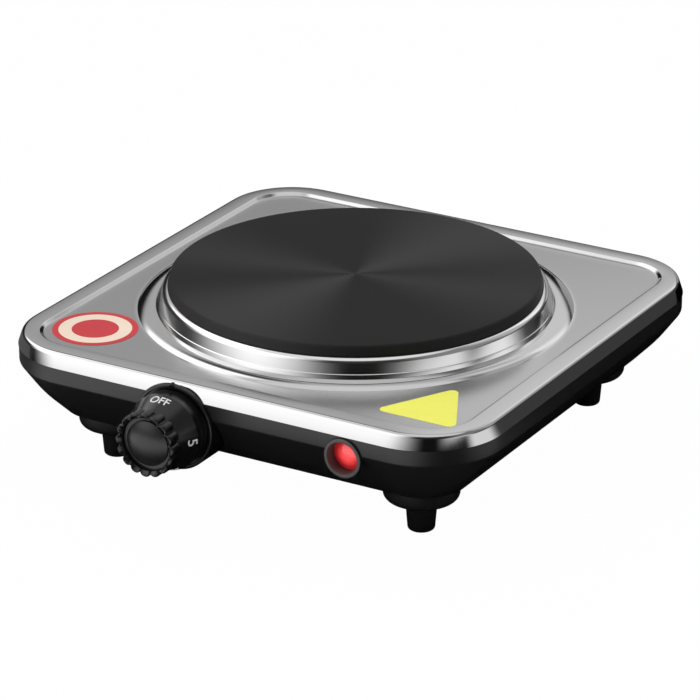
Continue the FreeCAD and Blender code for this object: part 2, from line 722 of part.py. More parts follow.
def knob():
    """Knob: hollow dial, flaring cone, lobed grip with a seat for the cap and a hub with a flat."""
    body = turned([
        (0, -DIAL_REAR),
        (DIAL_REAR_RADIUS, -DIAL_REAR),
        (DIAL_RADIUS, DIAL_EDGE - DIAL_EDGE_LAND),
        (DIAL_RADIUS, DIAL_EDGE),
        (GRIP_CORE, CONE_FRONT),
        (GRIP_CORE, GRIP_FRONT),
        (0, GRIP_FRONT),
    ])
    grip = Part.Face(grip_outline(DIAL_EDGE)).extrude(V(0, 0, GRIP_FRONT - DIAL_EDGE))
    grip = grip.common(turned([
        (0, DIAL_EDGE),
        (GRIP_RADIUS + GRIP_CHAMFER, DIAL_EDGE),
        (GRIP_RADIUS + GRIP_CHAMFER, GRIP_FRONT - 2 * GRIP_CHAMFER),
        (GRIP_RADIUS - GRIP_CHAMFER, GRIP_FRONT),
        (0, GRIP_FRONT),
    ]))
    body = body.fuse(grip).removeSplitter()
    body = body.cut(turned([
        (HUB_RADIUS, -DIAL_REAR),
        (DIAL_REAR_RADIUS - DIAL_WALL, -DIAL_REAR),
        (DIAL_RADIUS - DIAL_WALL, DIAL_EDGE - DIAL_WALL),
        (GRIP_CORE - DIAL_WALL, CONE_FRONT - DIAL_WALL),
        (HUB_RADIUS, CONE_FRONT - DIAL_WALL),
    ]))
    body = body.cut(disc(CAP_RADIUS + CAP_GAP, GRIP_FRONT - CAP_SEAT, GRIP_FRONT))
    end = GRIP_FRONT - SPINDLE_TO_FRONT + SPINDLE_GAP
    bore = disc(SPINDLE_RADIUS + SPINDLE_GAP, -DIAL_REAR, end)
    flat = SPINDLE_RADIUS - SPINDLE_FLAT + LEAF_SHEET + 2 * SPINDLE_GAP
    wide = 2 * SPINDLE_RADIUS
    key = box(-wide, wide, flat, wide, end - SPINDLE_FLAT_LENGTH, end)
    return to_front(body.cut(bore.cut(key)), KNOB_X, Y_ESCUTCHEON, Z_KNOB)


def knob_cap():
    """Smooth crowned cap set into the front of the grip."""
    seat = GRIP_FRONT - CAP_SEAT
    edge = seat + CAP_EDGE
    crown = edge + CAP_CROWN
    half = CAP_RADIUS / 2
    bulge = (CAP_RADIUS ** 2 + CAP_CROWN ** 2) / (2 * CAP_CROWN)
    shape = turned([
        (0, seat),
        (CAP_RADIUS, seat),
        (CAP_RADIUS, edge),
        (half, crown - bulge + math.sqrt(bulge ** 2 - half ** 2), "arc"),
        (0, crown),
    ])
    return to_front(shape, KNOB_X, Y_ESCUTCHEON, Z_KNOB)


def knob_leaf():
    """Spring leaf between the spindle's flat and the knob's hub."""
    rest = SPINDLE_RADIUS - SPINDLE_FLAT + SPINDLE_GAP
    end = GRIP_FRONT - SPINDLE_TO_FRONT
    half = LEAF_WIDTH / 2
    leaf = box(-half, half, rest, rest + LEAF_SHEET, end - LEAF_LENGTH, end)
    return to_front(leaf, KNOB_X, Y_ESCUTCHEON, Z_KNOB)


def thermostat_spindle():
    """Turned spindle: flat for the knob, collar behind the bush and a tip that meets the blade."""
    front = Y_ESCUTCHEON - GRIP_FRONT + SPINDLE_TO_FRONT
    shaft = rod(SPINDLE_RADIUS, front, Y_COLLAR, KNOB_X, Z_KNOB)
    wide = 2 * SPINDLE_RADIUS
    level = Z_KNOB + SPINDLE_RADIUS - SPINDLE_FLAT
    key = box(KNOB_X - wide, KNOB_X + wide, front, front + SPINDLE_FLAT_LENGTH, level, level + wide)
    shaft = shaft.cut(key)
    shaft = shaft.fuse(rod(COLLAR_RADIUS, Y_COLLAR, Y_COLLAR + COLLAR_LENGTH, KNOB_X, Z_KNOB))
    return shaft.fuse(rod(TIP_RADIUS, Y_COLLAR + COLLAR_LENGTH, Y_TIP, KNOB_X, Z_KNOB)).removeSplitter()


def knob_escutcheon():
    """Round surround fitted to the base's wall, with a sunk face and a pointer nub on top."""
    back = Y_BRACKET
    ring = rod(ESCUTCHEON_RADIUS, Y_ESCUTCHEON, back, KNOB_X, Z_KNOB)
    nub_top = Z_KNOB + ESCUTCHEON_RADIUS + NUB_RISE
    nub_foot = Z_KNOB + ESCUTCHEON_RADIUS - ESCUTCHEON_WALL
    side = [(NUB_WIDTH / 2, nub_foot), (NUB_TIP / 2, nub_top)]
    nub = side + [(-x, z) for x, z in reversed(side)]
    nub = Part.Face(outline([(KNOB_X + x, z) for x, z in nub])).extrude(V(0, NUB_DEPTH, 0))
    nub.translate(V(0, Y_ESCUTCHEON, 0))
    ring = ring.fuse(nub)
    bore = ESCUTCHEON_RADIUS - ESCUTCHEON_WALL
    ring = ring.cut(rod(bore, Y_ESCUTCHEON, Y_ESCUTCHEON + ESCUTCHEON_SINK, KNOB_X, Z_KNOB))
    ring = ring.cut(rod(SPINDLE_HOLE, Y_ESCUTCHEON, back, KNOB_X, Z_KNOB))
    reach = SKIRT_HALF + ESCUTCHEON_GAP
    ring = ring.cut(box(-reach, reach, -reach, reach, Z_SKIRT - ESCUTCHEON_GAP, Z_PLATE))
    ring = ring.cut(base_form())
    under = box(-reach, reach, -FLOOR_HALF, 0, 0, Z_BASE)
    return max(ring.cut(under).Solids, key=lambda solid: solid.Volume)


def thermostat_bracket():
    """Angle on the base's floor that carries the thermostat."""
    middle = KNOB_X + BRACKET_SHIFT
    left = middle - BRACKET_WIDTH / 2
    right = middle + BRACKET_WIDTH / 2
    plate = box(left, right, Y_BRACKET, Y_STACK, Z_FLOOR, Z_KNOB + BRACKET_TOP)
    foot_top = Z_FLOOR + BRACKET_SHEET
    plate = plate.fuse(box(left, right, Y_BRACKET, Y_BRACKET + BRACKET_FOOT, Z_FLOOR, foot_top))
    plate = plate.removeSplitter()
    plate = plate.cut(rod(BUSH_RADIUS + BUSH_FIT, Y_BRACKET, Y_STACK, KNOB_X, Z_KNOB))
    plate = plate.cut(rod(RIVET_RADIUS + RIVET_GAP, Y_BRACKET, Y_STACK, STACK_X, Z_KNOB))
    for side in (-1, 1):
        x = middle + side * BRACKET_SCREW_SPREAD
        hole = disc(SCREW_RADIUS + SCREW_GAP, Z_FLOOR, foot_top, x, Y_BRACKET + BRACKET_FOOT / 2)
        plate = plate.cut(hole)
    return plate


def bracket_screws():
    """Screws that hold the bracket to the floor."""
    screw = pan_screw(BRACKET_SHEET + BASE_FLOOR)
    middle = KNOB_X + BRACKET_SHIFT
    y = Y_BRACKET + BRACKET_FOOT / 2
    places = [middle + side * BRACKET_SCREW_SPREAD for side in (-1, 1)]
    return Part.makeCompound([placed(screw, x, y, Z_FLOOR + BRACKET_SHEET) for x in places])


def thermostat_bush():
    """Bush for the spindle, flanged behind the bracket."""
    bush = rod(BUSH_RADIUS, Y_BRACKET - BUSH_NOSE, Y_STACK, KNOB_X, Z_KNOB)
    bush = bush.fuse(rod(BUSH_FLANGE_RADIUS, Y_STACK, Y_STACK + BUSH_FLANGE, KNOB_X, Z_KNOB)).removeSplitter()
    bore = rod(SPINDLE_RADIUS + SPINDLE_GAP, Y_BRACKET - BUSH_NOSE, Y_STACK + BUSH_FLANGE, KNOB_X, Z_KNOB)
    return bush.cut(bore)


def bush_nut():
    """Nut that clamps the bush to the bracket."""
    nut = hexagon(BUSH_NUT_ACROSS, 0, BUSH_NUT_HEIGHT).cut(disc(BUSH_RADIUS + BUSH_FIT, 0, BUSH_NUT_HEIGHT))
    return to_front(nut, KNOB_X, Y_BRACKET, Z_KNOB)


def blade_places():
    """Front face of each blade of the stack."""
    places = [Y_BLADES]
    for gap in STACK_GAPS[:-1]:
        places.append(places[-1] + BLADE_SHEET + gap)
    return places


def stack_end():
    """Rear face of the last insulator."""
    return blade_places()[-1] + BLADE_SHEET + STACK_GAPS[-1]


def stack_insulators():
    """Ceramic rings between the blades."""
    fronts = [Y_STACK] + [place + BLADE_SHEET for place in blade_places()]
    rears = blade_places() + [stack_end()]
    rings = []
    for front, rear in zip(fronts, rears):
        ring = rod(STACK_RADIUS, front, rear, STACK_X, Z_KNOB)
        rings.append(ring.cut(rod(RIVET_RADIUS + RIVET_GAP, front, rear, STACK_X, Z_KNOB)))
    return Part.makeCompound(rings)


def stack_rivet():
    """Rivet through the bracket and the stack."""
    shank = rod(RIVET_RADIUS, Y_BRACKET, stack_end(), STACK_X, Z_KNOB)
    front = rod(RIVET_HEAD, Y_BRACKET - RIVET_HEAD_HEIGHT, Y_BRACKET, STACK_X, Z_KNOB)
    rear = rod(RIVET_HEAD, stack_end(), stack_end() + RIVET_HEAD_HEIGHT, STACK_X, Z_KNOB)
    return shank.fuse(front).fuse(rear).removeSplitter()


def blade(number):
    """One spring blade: reaches past the spindle, its tail is a terminal."""
    place = blade_places()[number]
    half = BLADE_WIDTH / 2
    left = KNOB_X - BLADE_REACH
    right = STACK_X + BLADE_TAIL + number * BLADE_TAIL_STEP
    strip = box(left, right, place, place + BLADE_SHEET, Z_KNOB - half, Z_KNOB + half)
    return strip.cut(rod(RIVET_RADIUS + RIVET_GAP, place, place + BLADE_SHEET, STACK_X, Z_KNOB))


def silver_contacts():
    """Contact on each of the two facing blades, open at rest."""
    first, second = blade_places()[:2]
    height = (second - first - BLADE_SHEET - CONTACT_OPENING) / 2
    x = KNOB_X - BLADE_REACH + BLADE_WIDTH / 2
    front = rod(CONTACT_RADIUS, first + BLADE_SHEET, first + BLADE_SHEET + height, x, Z_KNOB)
    rear = rod(CONTACT_RADIUS, second - height, second, x, Z_KNOB)
    return Part.makeCompound([front, rear])


def lamp_bezel():
    """Tube of the pilot lamp with a softened front edge."""
    tube = disc(BEZEL_RADIUS, -BEZEL_LENGTH, 0)
    rim = [edge for edge in tube.Edges if edge.BoundBox.ZMin > -BEZEL_ROUND]
    tube = tube.makeFillet(BEZEL_ROUND, rim)
    tube = tube.cut(disc(BEZEL_RADIUS - BEZEL_WALL, -BEZEL_LENGTH, 0))
    return to_front(tube, LAMP_X, Y_LAMP, Z_LAMP)


def lens_radius():
    """Outside of the lens, a close fit in the bezel."""
    return BEZEL_RADIUS - BEZEL_WALL - LENS_FIT


def lamp_lens():
    """Hollow red lens with a crowned front, sunk in the bezel."""
    outer = lens_radius()
    inner = outer - LENS_WALL
    edge = -LENS_SINK - LENS_CROWN
    rear = -LENS_SINK - LENS_LENGTH
    half = outer / 2
    bulge = (outer ** 2 + LENS_CROWN ** 2) / (2 * LENS_CROWN)
    shape = turned([
        (0, -LENS_SINK),
        (half, -LENS_SINK - bulge + math.sqrt(bulge ** 2 - half ** 2), "arc"),
        (outer, edge),
        (outer, rear),
        (inner, rear),
        (inner, edge - LENS_WALL),
        (0, edge - LENS_WALL),
    ])
    return to_front(shape, LAMP_X, Y_LAMP, Z_LAMP)


def lamp_holder():
    """Plug that closes the bezel's rear and carries the neon lamp on a stem."""
    rear = -LENS_SINK - LENS_LENGTH
    plug = disc(lens_radius(), rear - HOLDER_LENGTH, rear)
    plug = plug.fuse(disc(NEON_RADIUS, rear, rear + HOLDER_STEM)).removeSplitter()
    return to_front(plug, LAMP_X, Y_LAMP, Z_LAMP)


def neon_lamp():
    """Glass neon lamp with a round tip inside the lens."""
    foot_place = -LENS_SINK - LENS_LENGTH + HOLDER_STEM
    tip = foot_place + NEON_LENGTH
    shoulder = tip - NEON_RADIUS
    bend = NEON_RADIUS * math.sqrt(0.5)
    shape = turned([
        (0, foot_place),
        (NEON_RADIUS, foot_place),
        (NEON_RADIUS, shoulder),
        (bend, shoulder + bend, "arc"),
        (0, tip),
    ])
    return to_front(shape, LAMP_X, Y_LAMP, Z_LAMP)


def lamp_retainer():
    """Push-on ring that holds the bezel behind the wall."""
    front = Y_LAMP + RETAINER_SETBACK
    ring = rod(BEZEL_RADIUS + RETAINER_REACH, front, front + RETAINER_SHEET, LAMP_X, Z_LAMP)
    ring = ring.cut(rod(BEZEL_RADIUS + BEZEL_FIT / 2, front, front + RETAINER_SHEET, LAMP_X, Z_LAMP))
    return ring.common(base_hollow())


def cord_gland():
    """Bush for the mains cord, square to the rear wall."""
    slope = math.radians(SLOPE_ANGLE)
    wall = BASE_WALL * math.cos(slope)
    shape = turned([
        (GLAND_BORE, GLAND_FLANGE),
        (GLAND_FLANGE_RADIUS - GLAND_FLANGE / 2, GLAND_FLANGE),
        (GLAND_FLANGE_RADIUS, GLAND_FLANGE / 2),
        (GLAND_FLANGE_RADIUS, 0),
        (GLAND_RADIUS, 0),
        (GLAND_RADIUS, -wall),
        (GLAND_LIP_RADIUS, -wall),
        (GLAND_LIP_RADIUS - GLAND_LIP / 2, -wall - GLAND_LIP),
        (GLAND_BORE, -wall - GLAND_LIP),
    ])
    return gland_place(shape)


def pole_places():
    """X of each pole of the terminal block."""
    first = BLOCK_X - BLOCK_PITCH * (BLOCK_POLES - 1) / 2
    return [first + number * BLOCK_PITCH for number in range(BLOCK_POLES)]


def terminal_block():
    """Ceramic block with a wire bore and a screw hole at each pole."""
    length, depth, height = BLOCK_SIZE
    block = box(
        BLOCK_X - length / 2, BLOCK_X + length / 2, BLOCK_Y - depth / 2, BLOCK_Y + depth / 2,
        Z_FLOOR, Z_FLOOR + height,
    )
    for x in pole_places():
        block = block.cut(rod(BLOCK_BORE, BLOCK_Y - depth / 2, BLOCK_Y + depth / 2, x, Z_WIRE))
        hole = TERMINAL_SCREW_RADIUS + SCREW_GAP
        block = block.cut(disc(hole, Z_FLOOR + height - TERMINAL_SCREW_LENGTH, Z_FLOOR + height, x, BLOCK_Y))
    return block


def terminal_screws():
    """Clamp screws of the terminal block."""
    top = Z_FLOOR + BLOCK_SIZE[2]
    screws = []
    for x in pole_places():
        screw = disc(TERMINAL_SCREW_RADIUS, top - TERMINAL_SCREW_LENGTH, top, x, BLOCK_Y)
        head = disc(TERMINAL_HEAD, top, top + TERMINAL_HEAD_HEIGHT, x, BLOCK_Y)
        screws.append(screw.fuse(head).removeSplitter())
    return Part.makeCompound(screws)


def wire(points):
    """Insulated wire along straight runs joined by tangent bends."""
    edges = []
    start = points[0]
    for before, corner, after in zip(points, points[1:], points[2:]):
        into = (corner - before).normalize()
        out = (after - corner).normalize()
        turn = into.getAngle(out)
        trim = WIRE_BEND * math.tan(turn / 2)
        arrive = corner - into * trim
        leave = corner + out * trim
        inward = (out - into).normalize()
        middle = corner + inward * (WIRE_BEND / math.cos(turn / 2) - WIRE_BEND)
        edges.append(Part.LineSegment(start, arrive).toShape())
        edges.append(Part.Arc(arrive, middle, leave).toShape())
        start = leave
    edges.append(Part.LineSegment(start, points[-1]).toShape())
    path = Part.Wire(edges)
    section = Part.Wire([Part.Circle(points[0], points[1] - points[0], WIRE_RADIUS).toShape()])
    return path.makePipeShell([section], True, False)


def wires():
    """Wires from the terminal block to two blades and to the lamp's holder."""
    front_of_block = BLOCK_Y - BLOCK_SIZE[1] / 2
    half = BLOCK_SIZE[1] / 4
    poles = pole_places()
    runs = []
    for number, x in ((0, poles[0]), (2, poles[1])):
        tail = STACK_X + BLADE_TAIL + number * BLADE_TAIL_STEP
        place = blade_places()[number] + BLADE_SHEET / 2
        runs.append(wire([
            V(x, front_of_block + half, Z_WIRE),
            V(x, place, Z_WIRE),
            V(x, place, Z_KNOB),
            V(tail, place, Z_KNOB),
        ]))
    holder = Y_LAMP + LENS_SINK + LENS_LENGTH + HOLDER_LENGTH
    runs.append(wire([
        V(poles[2], front_of_block + half, Z_WIRE),
        V(poles[2], holder + 4 * WIRE_BEND, Z_WIRE),
        V(LAMP_X, holder + 2 * WIRE_BEND, Z_LAMP),
        V(LAMP_X, holder, Z_LAMP),
    ]))
    return Part.makeCompound(runs)


PIECES = {
    "top_cover": top_cover,
    "trim_ring": trim_ring,
    "heating_plate": heating_plate,
    "heating_coil": heating_coil,
    "ceramic_fill": ceramic_fill,
    "element_cover": element_cover,
    "centre_stud": centre_stud,
    "stud_nuts": stud_nuts,
    "stud_washer": stud_washer,
    "plate_strap": plate_strap,
    "heat_shield": heat_shield,
    "base_pan": base_pan,
    "foot_screws": foot_screws,
    "cover_tabs": cover_tabs,
    "base_screws": base_screws,
    "knob": knob,
    "knob_cap": knob_cap,
    "knob_leaf": knob_leaf,
    "thermostat_spindle": thermostat_spindle,
    "knob_escutcheon": knob_escutcheon,
    "thermostat_bracket": thermostat_bracket,
    "bracket_screws": bracket_screws,
    "thermostat_bush": thermostat_bush,
    "bush_nut": bush_nut,
    "stack_insulators": stack_insulators,
    "stack_rivet": stack_rivet,
    "adjusting_blade": lambda: blade(0),
    "contact_blade": lambda: blade(1),
    "bimetal_blade": lambda: blade(2),
    "silver_contacts": silver_contacts,
    "lamp_bezel": lamp_bezel,
    "lamp_lens": lamp_lens,
    "lamp_holder": lamp_holder,
    "neon_lamp": neon_lamp,
    "lamp_retainer": lamp_retainer,
    "cord_gland": cord_gland,
    "terminal_block": terminal_block,
    "terminal_screws": terminal_screws,
    "wires": wires,
    "foot_front_left": lambda: foot(-1, -1),
    "foot_front_right": lambda: foot(1, -1),
    "foot_rear_left": lambda: foot(-1, 1),
    "foot_rear_right": lambda: foot(1, 1),
}


def build():
    """Write each piece to its own file, moved to the frame."""
    os.makedirs("parts", exist_ok=True)
    for name, make in PIECES.items():
        shape = make()
        shape.translate(V(0, FRAME_Y, 0))
        shape.exportStep(os.path.join("parts", name + ".step"))
        print(name, len(shape.Solids), round(shape.Volume, 1), shape.isValid())


build()
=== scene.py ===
import json
import math

import bmesh
import bpy
from bpy.props import FloatProperty, FloatVectorProperty, IntProperty, PointerProperty
from mathutils import Matrix, Vector


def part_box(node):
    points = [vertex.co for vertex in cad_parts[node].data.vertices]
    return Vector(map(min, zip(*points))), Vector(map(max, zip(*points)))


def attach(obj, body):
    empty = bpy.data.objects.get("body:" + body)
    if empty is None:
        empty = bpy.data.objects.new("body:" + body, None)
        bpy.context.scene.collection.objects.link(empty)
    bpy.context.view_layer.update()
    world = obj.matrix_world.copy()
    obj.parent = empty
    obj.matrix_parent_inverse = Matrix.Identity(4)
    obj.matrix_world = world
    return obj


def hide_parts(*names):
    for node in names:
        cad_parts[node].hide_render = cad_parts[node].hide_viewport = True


bl_info = {
    "name": "Hot Plate Looks",
    "version": (1, 0, 0),
    "blender": (4, 5, 0),
    "location": "View3D > Sidebar > Hot Plate",
    "description": "Builds the finished surfaces of a square hot plate over its packed frame",
    "category": "Object",
}

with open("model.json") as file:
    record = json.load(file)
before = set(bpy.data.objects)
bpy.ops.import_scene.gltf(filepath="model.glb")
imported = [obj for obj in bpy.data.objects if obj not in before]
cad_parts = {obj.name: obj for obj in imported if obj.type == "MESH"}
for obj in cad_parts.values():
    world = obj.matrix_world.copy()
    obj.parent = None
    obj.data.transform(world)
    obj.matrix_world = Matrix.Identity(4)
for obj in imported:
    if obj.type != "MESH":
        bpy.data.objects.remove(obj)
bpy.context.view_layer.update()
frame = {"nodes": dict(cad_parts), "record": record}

PLATE_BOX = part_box("heating_plate")
MIDDLE_Y = (PLATE_BOX[0][1] + PLATE_BOX[1][1]) / 2
SIDE_STEPS = 28
CORNER_STEPS = 20
TURN_STEPS = 240
SMALL_STEPS = 96
DOUBLES = 1e-7
PIN = 0.0005
BAND_TOP = 0.0605
WHITE = (1, 1, 1, 1)


def size(name, text, default):
    """A length that a user may change."""
    return FloatProperty(
        name=name, description=text, default=default, subtype="DISTANCE", unit="LENGTH", precision=5
    )


def angle(name, text, degrees):
    """An angle that a user may change."""
    return FloatProperty(
        name=name, description=text, default=math.radians(degrees), subtype="ANGLE", unit="ROTATION"
    )


def tint(name, text, default):
    """A colour that a user may change."""
    return FloatVectorProperty(
        name=name, description=text, default=default, size=3, min=0.0, max=1.0, subtype="COLOR"
    )


class CoverSettings(bpy.types.PropertyGroup):
    """Pressed cover."""

    skirt_half: size("Skirt Half", "Half the width across the skirt's lower edge", 0.1304)
    skirt_corner: size("Skirt Corner", "Corner radius at the skirt's lower edge", 0.040)
    skirt_base: size("Skirt Base", "Height of the skirt's lower edge", 0.0605)
    rim_half: size("Rim Half", "Half the width of the rim before its edge is rounded", 0.1273)
    rim_corner: size("Rim Corner", "Corner radius of the rim", 0.035)
    rim_round: size("Rim Round", "Radius of the rim's edge", 0.003)
    rim_top: size("Rim Top", "Height of the rim", 0.0675)
    step_half: size("Step Half", "Half the width at the top of the step", 0.1178)
    panel_half: size("Panel Half", "Half the width of the sunk panel", 0.1162)
    panel_corner: size("Panel Corner", "Corner radius of the sunk panel", 0.021)
    panel_top: size("Panel Top", "Height of the sunk panel", 0.0659)
    boss_out: size("Boss Outside", "Radius of the round boss at the panel", 0.1072)
    boss_round: size("Boss Round", "Radius of the boss's shoulder", 0.0130)
    boss_top: size("Boss Top", "Height of the boss that the trim ring stands on", 0.0680)
    hole: size("Hole", "Radius of the hole under the burner", 0.0860)
    sheet: size("Sheet", "Thickness of the sheet", 0.0006)
    colour: tint("Steel", "Colour of the cover's steel", (0.62, 0.62, 0.62))


class BurnerSettings(bpy.types.PropertyGroup):
    """Cast plate and trim ring."""

    plate_radius: size("Plate Radius", "Radius at the foot of the plate's flank", 0.0925)
    face_radius: size("Face Radius", "Radius at the top of the plate's flank", 0.0912)
    face: size("Face", "Height of the cooking face", PLATE_BOX[1][2])
    seat: size("Seat", "Height of the plate's seat on the ring", 0.07715)
    body_radius: size("Body Radius", "Radius of the plate below its seat", 0.0893)
    ring_colour: tint("Ring", "Colour of the trim ring", (0.78, 0.78, 0.78))
    plate_colour: tint("Iron", "Colour of the coated iron", (0.012, 0.012, 0.012))


class BaseSettings(bpy.types.PropertyGroup):
    """Moulded base and feet."""

    band_half: size("Band Half", "Half the width of the upright band", 0.1302)
    band_corner: size("Band Corner", "Corner radius of the upright band", 0.040)
    band_base: size("Band Base", "Height where the slope meets the band", 0.0525)
    floor_half: size("Floor Half", "Half the width of the floor", 0.1085)
    floor_corner: size("Floor Corner", "Corner radius of the floor", 0.020)
    floor: size("Floor", "Height of the floor's underside", 0.0263)
    wall: size("Wall", "Thickness of the wall", 0.0028)
    bulge: size("Bulge", "How far the slope swells across and down at its middle", 0.0008)
    foot_place: size("Foot Place", "Distance of each foot from the middle", 0.0855)
    vent_count: IntProperty(name="Vents", description="Slots in the floor", default=9, min=1)
    vent_pitch: size("Vent Pitch", "Distance between slots", 0.014)
    colour: tint("Moulding", "Colour of the base and feet", (0.0126, 0.0126, 0.0135))


class KnobSettings(bpy.types.PropertyGroup):
    """Knob, its print and its surround."""

    place_x: size("Place X", "Knob axis across the front", -0.0225)
    place_z: size("Place Z", "Height of the knob axis", 0.0460)
    front: size("Surround Front", "Front face of the surround", -0.11875)
    surround_radius: size("Surround Radius", "Outside of the surround", 0.0215)
    dial_radius: size("Dial Radius", "Widest radius of the dial", 0.0190)
    grip_radius: size("Grip Radius", "Radius over the grip's lobes", 0.0161)
    grip_core: size("Grip Core", "Radius of the cone where it meets the grip", 0.0139)
    cone_front: size("Cone Front", "Where the cone meets the grip, ahead of the surround", 0.0205)
    lobe_root: size("Lobe Root", "Radius between the lobes", 0.0146)
    lobe_rear: size("Lobe Rear", "Where the lobes are full, ahead of the surround", 0.0186)
    lobes: IntProperty(name="Lobes", description="Lobes round the grip", default=16, min=6, max=40)
    colour: tint("Knob", "Colour of the knob", (0.007, 0.007, 0.0075))
    cap_colour: tint("Cap", "Colour of the knob's cap", (0.014, 0.014, 0.0145))
    print_colour: tint("Print", "Colour of the dial's print", (0.80, 0.80, 0.80))


class LampSettings(bpy.types.PropertyGroup):
    """Pilot lamp and labels."""

    place_x: size("Place X", "Lamp axis across the front", 0.0690)
    place_z: size("Place Z", "Height of the lamp axis", 0.0500)
    front: size("Bezel Front", "Front face of the bezel", -0.11785)
    radius: size("Bezel Radius", "Outside of the bezel", 0.0098)
    colour: tint("Lens", "Colour of the lens", (0.80, 0.02, 0.02))
    red: tint("Label Red", "Colour of the round label", (0.60, 0.055, 0.065))
    cream: tint("Label Cream", "Colour of the round label's band", (0.98, 0.74, 0.60))
    yellow: tint("Label Yellow", "Colour of the corner label", (0.93, 0.91, 0.14))


class StageSettings(bpy.types.PropertyGroup):
    """Camera, floor and light."""

    azimuth: angle("Azimuth", "Camera's place to the right of the front", 30.22)
    elevation: angle("Elevation", "Camera's height angle", 22.93)
    distance: size("Distance", "Camera's distance from its target", 1.92477)
    lens: FloatProperty(
        name="Lens", description="Focal length in mm", default=207.15, min=10.0,
        subtype="DISTANCE_CAMERA",
    )


# Meshes


def soften(points, radii, steps=6):
    """Polyline in a plane with its inner corners rounded."""
    result = [Vector(points[0])]
    for before, corner, after, radius in zip(points, points[1:], points[2:], radii):
        before, corner, after = Vector(before), Vector(corner), Vector(after)
        back = (before - corner).normalized()
        ahead = (after - corner).normalized()
        half = back.angle(ahead) / 2
        if radius <= 0 or half > math.radians(89):
            result.append(corner)
            continue
        reach = radius / math.tan(half)
        middle = corner + (back + ahead).normalized() * radius / math.sin(half)
        start = corner + back * reach - middle
        sweep = start.angle_signed(corner + ahead * reach - middle)
        for step in range(steps + 1):
            result.append(middle + Matrix.Rotation(-sweep * step / steps, 2) @ start)
    result.append(Vector(points[-1]))
    return result


def circle(steps):
    """Angles spaced evenly round a circle."""
    return [2 * math.pi * step / steps for step in range(steps)]


def square_loop(half, corner, height):
    """Points round a square with round corners, about the body's middle."""
    flat = half - corner
    quarter = [Vector((half, -flat + 2 * flat * step / SIDE_STEPS)) for step in range(SIDE_STEPS)]
    for turn in circle(4 * CORNER_STEPS)[:CORNER_STEPS]:
        quarter.append(Vector((flat + corner * math.cos(turn), flat + corner * math.sin(turn))))
    loop = []
    for quadrant in range(4):
        spin = Matrix.Rotation(math.pi / 2 * quadrant, 2)
        loop += [Vector((*(spin @ point), height)) + Vector((0, MIDDLE_Y, 0)) for point in quarter]
    return loop


def round_loop(radius, height, like):
    """Points on a circle at the same bearings as another loop's points."""
    loop = []
    for point in like:
        bearing = Vector((point.x, point.y - MIDDLE_Y)).normalized()
        loop.append(Vector((bearing.x * radius, bearing.y * radius + MIDDLE_Y, height)))
    return loop


def linked(name, data):
    """New object in the scene."""
    piece = bpy.data.objects.new(name, data)
    bpy.context.collection.objects.link(piece)
    return piece


def meshed(name, bm):
    """New mesh object from a bmesh, which is freed."""
    mesh = bpy.data.meshes.new(name)
    bm.to_mesh(mesh)
    bm.free()
    return linked(name, mesh)


def skin(name, loops, closed=False, sharp=35):
    """Mesh object over loops of equal length; open ends are capped."""
    bm = bmesh.new()
    rows = [[bm.verts.new(point) for point in loop] for loop in loops]
    pairs = list(zip(rows, rows[1:]))
    if closed:
        pairs.append((rows[-1], rows[0]))
    for low, high in pairs:
        for place in range(len(low)):
            after = (place + 1) % len(low)
            bm.faces.new((low[place], low[after], high[after], high[place]))
    if not closed:
        bm.faces.new(list(reversed(rows[0])))
        bm.faces.new(rows[-1])
    bmesh.ops.remove_doubles(bm, verts=bm.verts, dist=DOUBLES)
    bmesh.ops.recalc_face_normals(bm, faces=bm.faces)
    piece = meshed(name, bm)
    shade(piece, sharp)
    return piece


def shade(piece, sharp):
    """Smooth faces, with creases above an angle in degrees."""
    piece.data.shade_smooth()
    piece.data.set_sharp_from_angle(angle=math.radians(sharp))


def spun(name, profile, place, steps=TURN_STEPS, closed=False, sharp=35):
    """Turned piece; place takes a radius, an angle and an axial distance to a point."""
    turns = circle(steps)
    loops = [[place(radius, turn, along) for turn in turns] for radius, along in profile]
    return skin(name, loops, closed, sharp)


def standing(x, y):
    """Places on a turned piece whose axis is upright."""
    def place(radius, turn, height):
        return Vector((x + radius * math.cos(turn), y + radius * math.sin(turn), height))
    return place


def forward(s):
    """Places on a turned piece whose axis points to the front."""
    x, y, z = s.place_x, s.front, s.place_z

    def place(radius, turn, ahead):
        return Vector((x + radius * math.sin(turn), y - ahead, z + radius * math.cos(turn)))
    return place


def joined(name, pieces):
    """One object from several mesh objects."""
    bm = bmesh.new()
    for piece in pieces:
        bm.from_mesh(piece.data)
        drop(piece)
    return meshed(name, bm)


def drop(piece):
    """Remove a helper object and its mesh."""
    data = piece.data
    bpy.data.objects.remove(piece)
    bpy.data.meshes.remove(data)


def evaluated(piece):
    """New mesh of an object as it is shown."""
    graph = bpy.context.evaluated_depsgraph_get()
    return bpy.data.meshes.new_from_object(piece.evaluated_get(graph))


def baked(piece):
    """Apply the modifiers of an object to its mesh."""
    old, mesh = piece.data, evaluated(piece)
    piece.modifiers.clear()
    piece.data = mesh
    bpy.data.meshes.remove(old)


def paint(piece, material):
    """Give an object one material, by its name."""
    piece.data.materials.clear()
    piece.data.materials.append(bpy.data.materials[material])


def finish_piece(piece, material, body, slot, *nodes):
    """Give a piece its material and body, and hide the nodes that it stands for; slot is not used.
    """
    paint(piece, material)
    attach(piece, body)
    if nodes:
        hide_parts(*nodes)


# Nodes: a function that takes a socket works in that socket's tree


def feed(node, inputs):
    """Set a node's inputs, by place or by name: a socket is linked, any other value is kept."""
    for key, value in inputs.items():
        if isinstance(value, bpy.types.NodeSocket):
            node.id_data.links.new(value, node.inputs[key])
        else:
            node.inputs[key].default_value = value


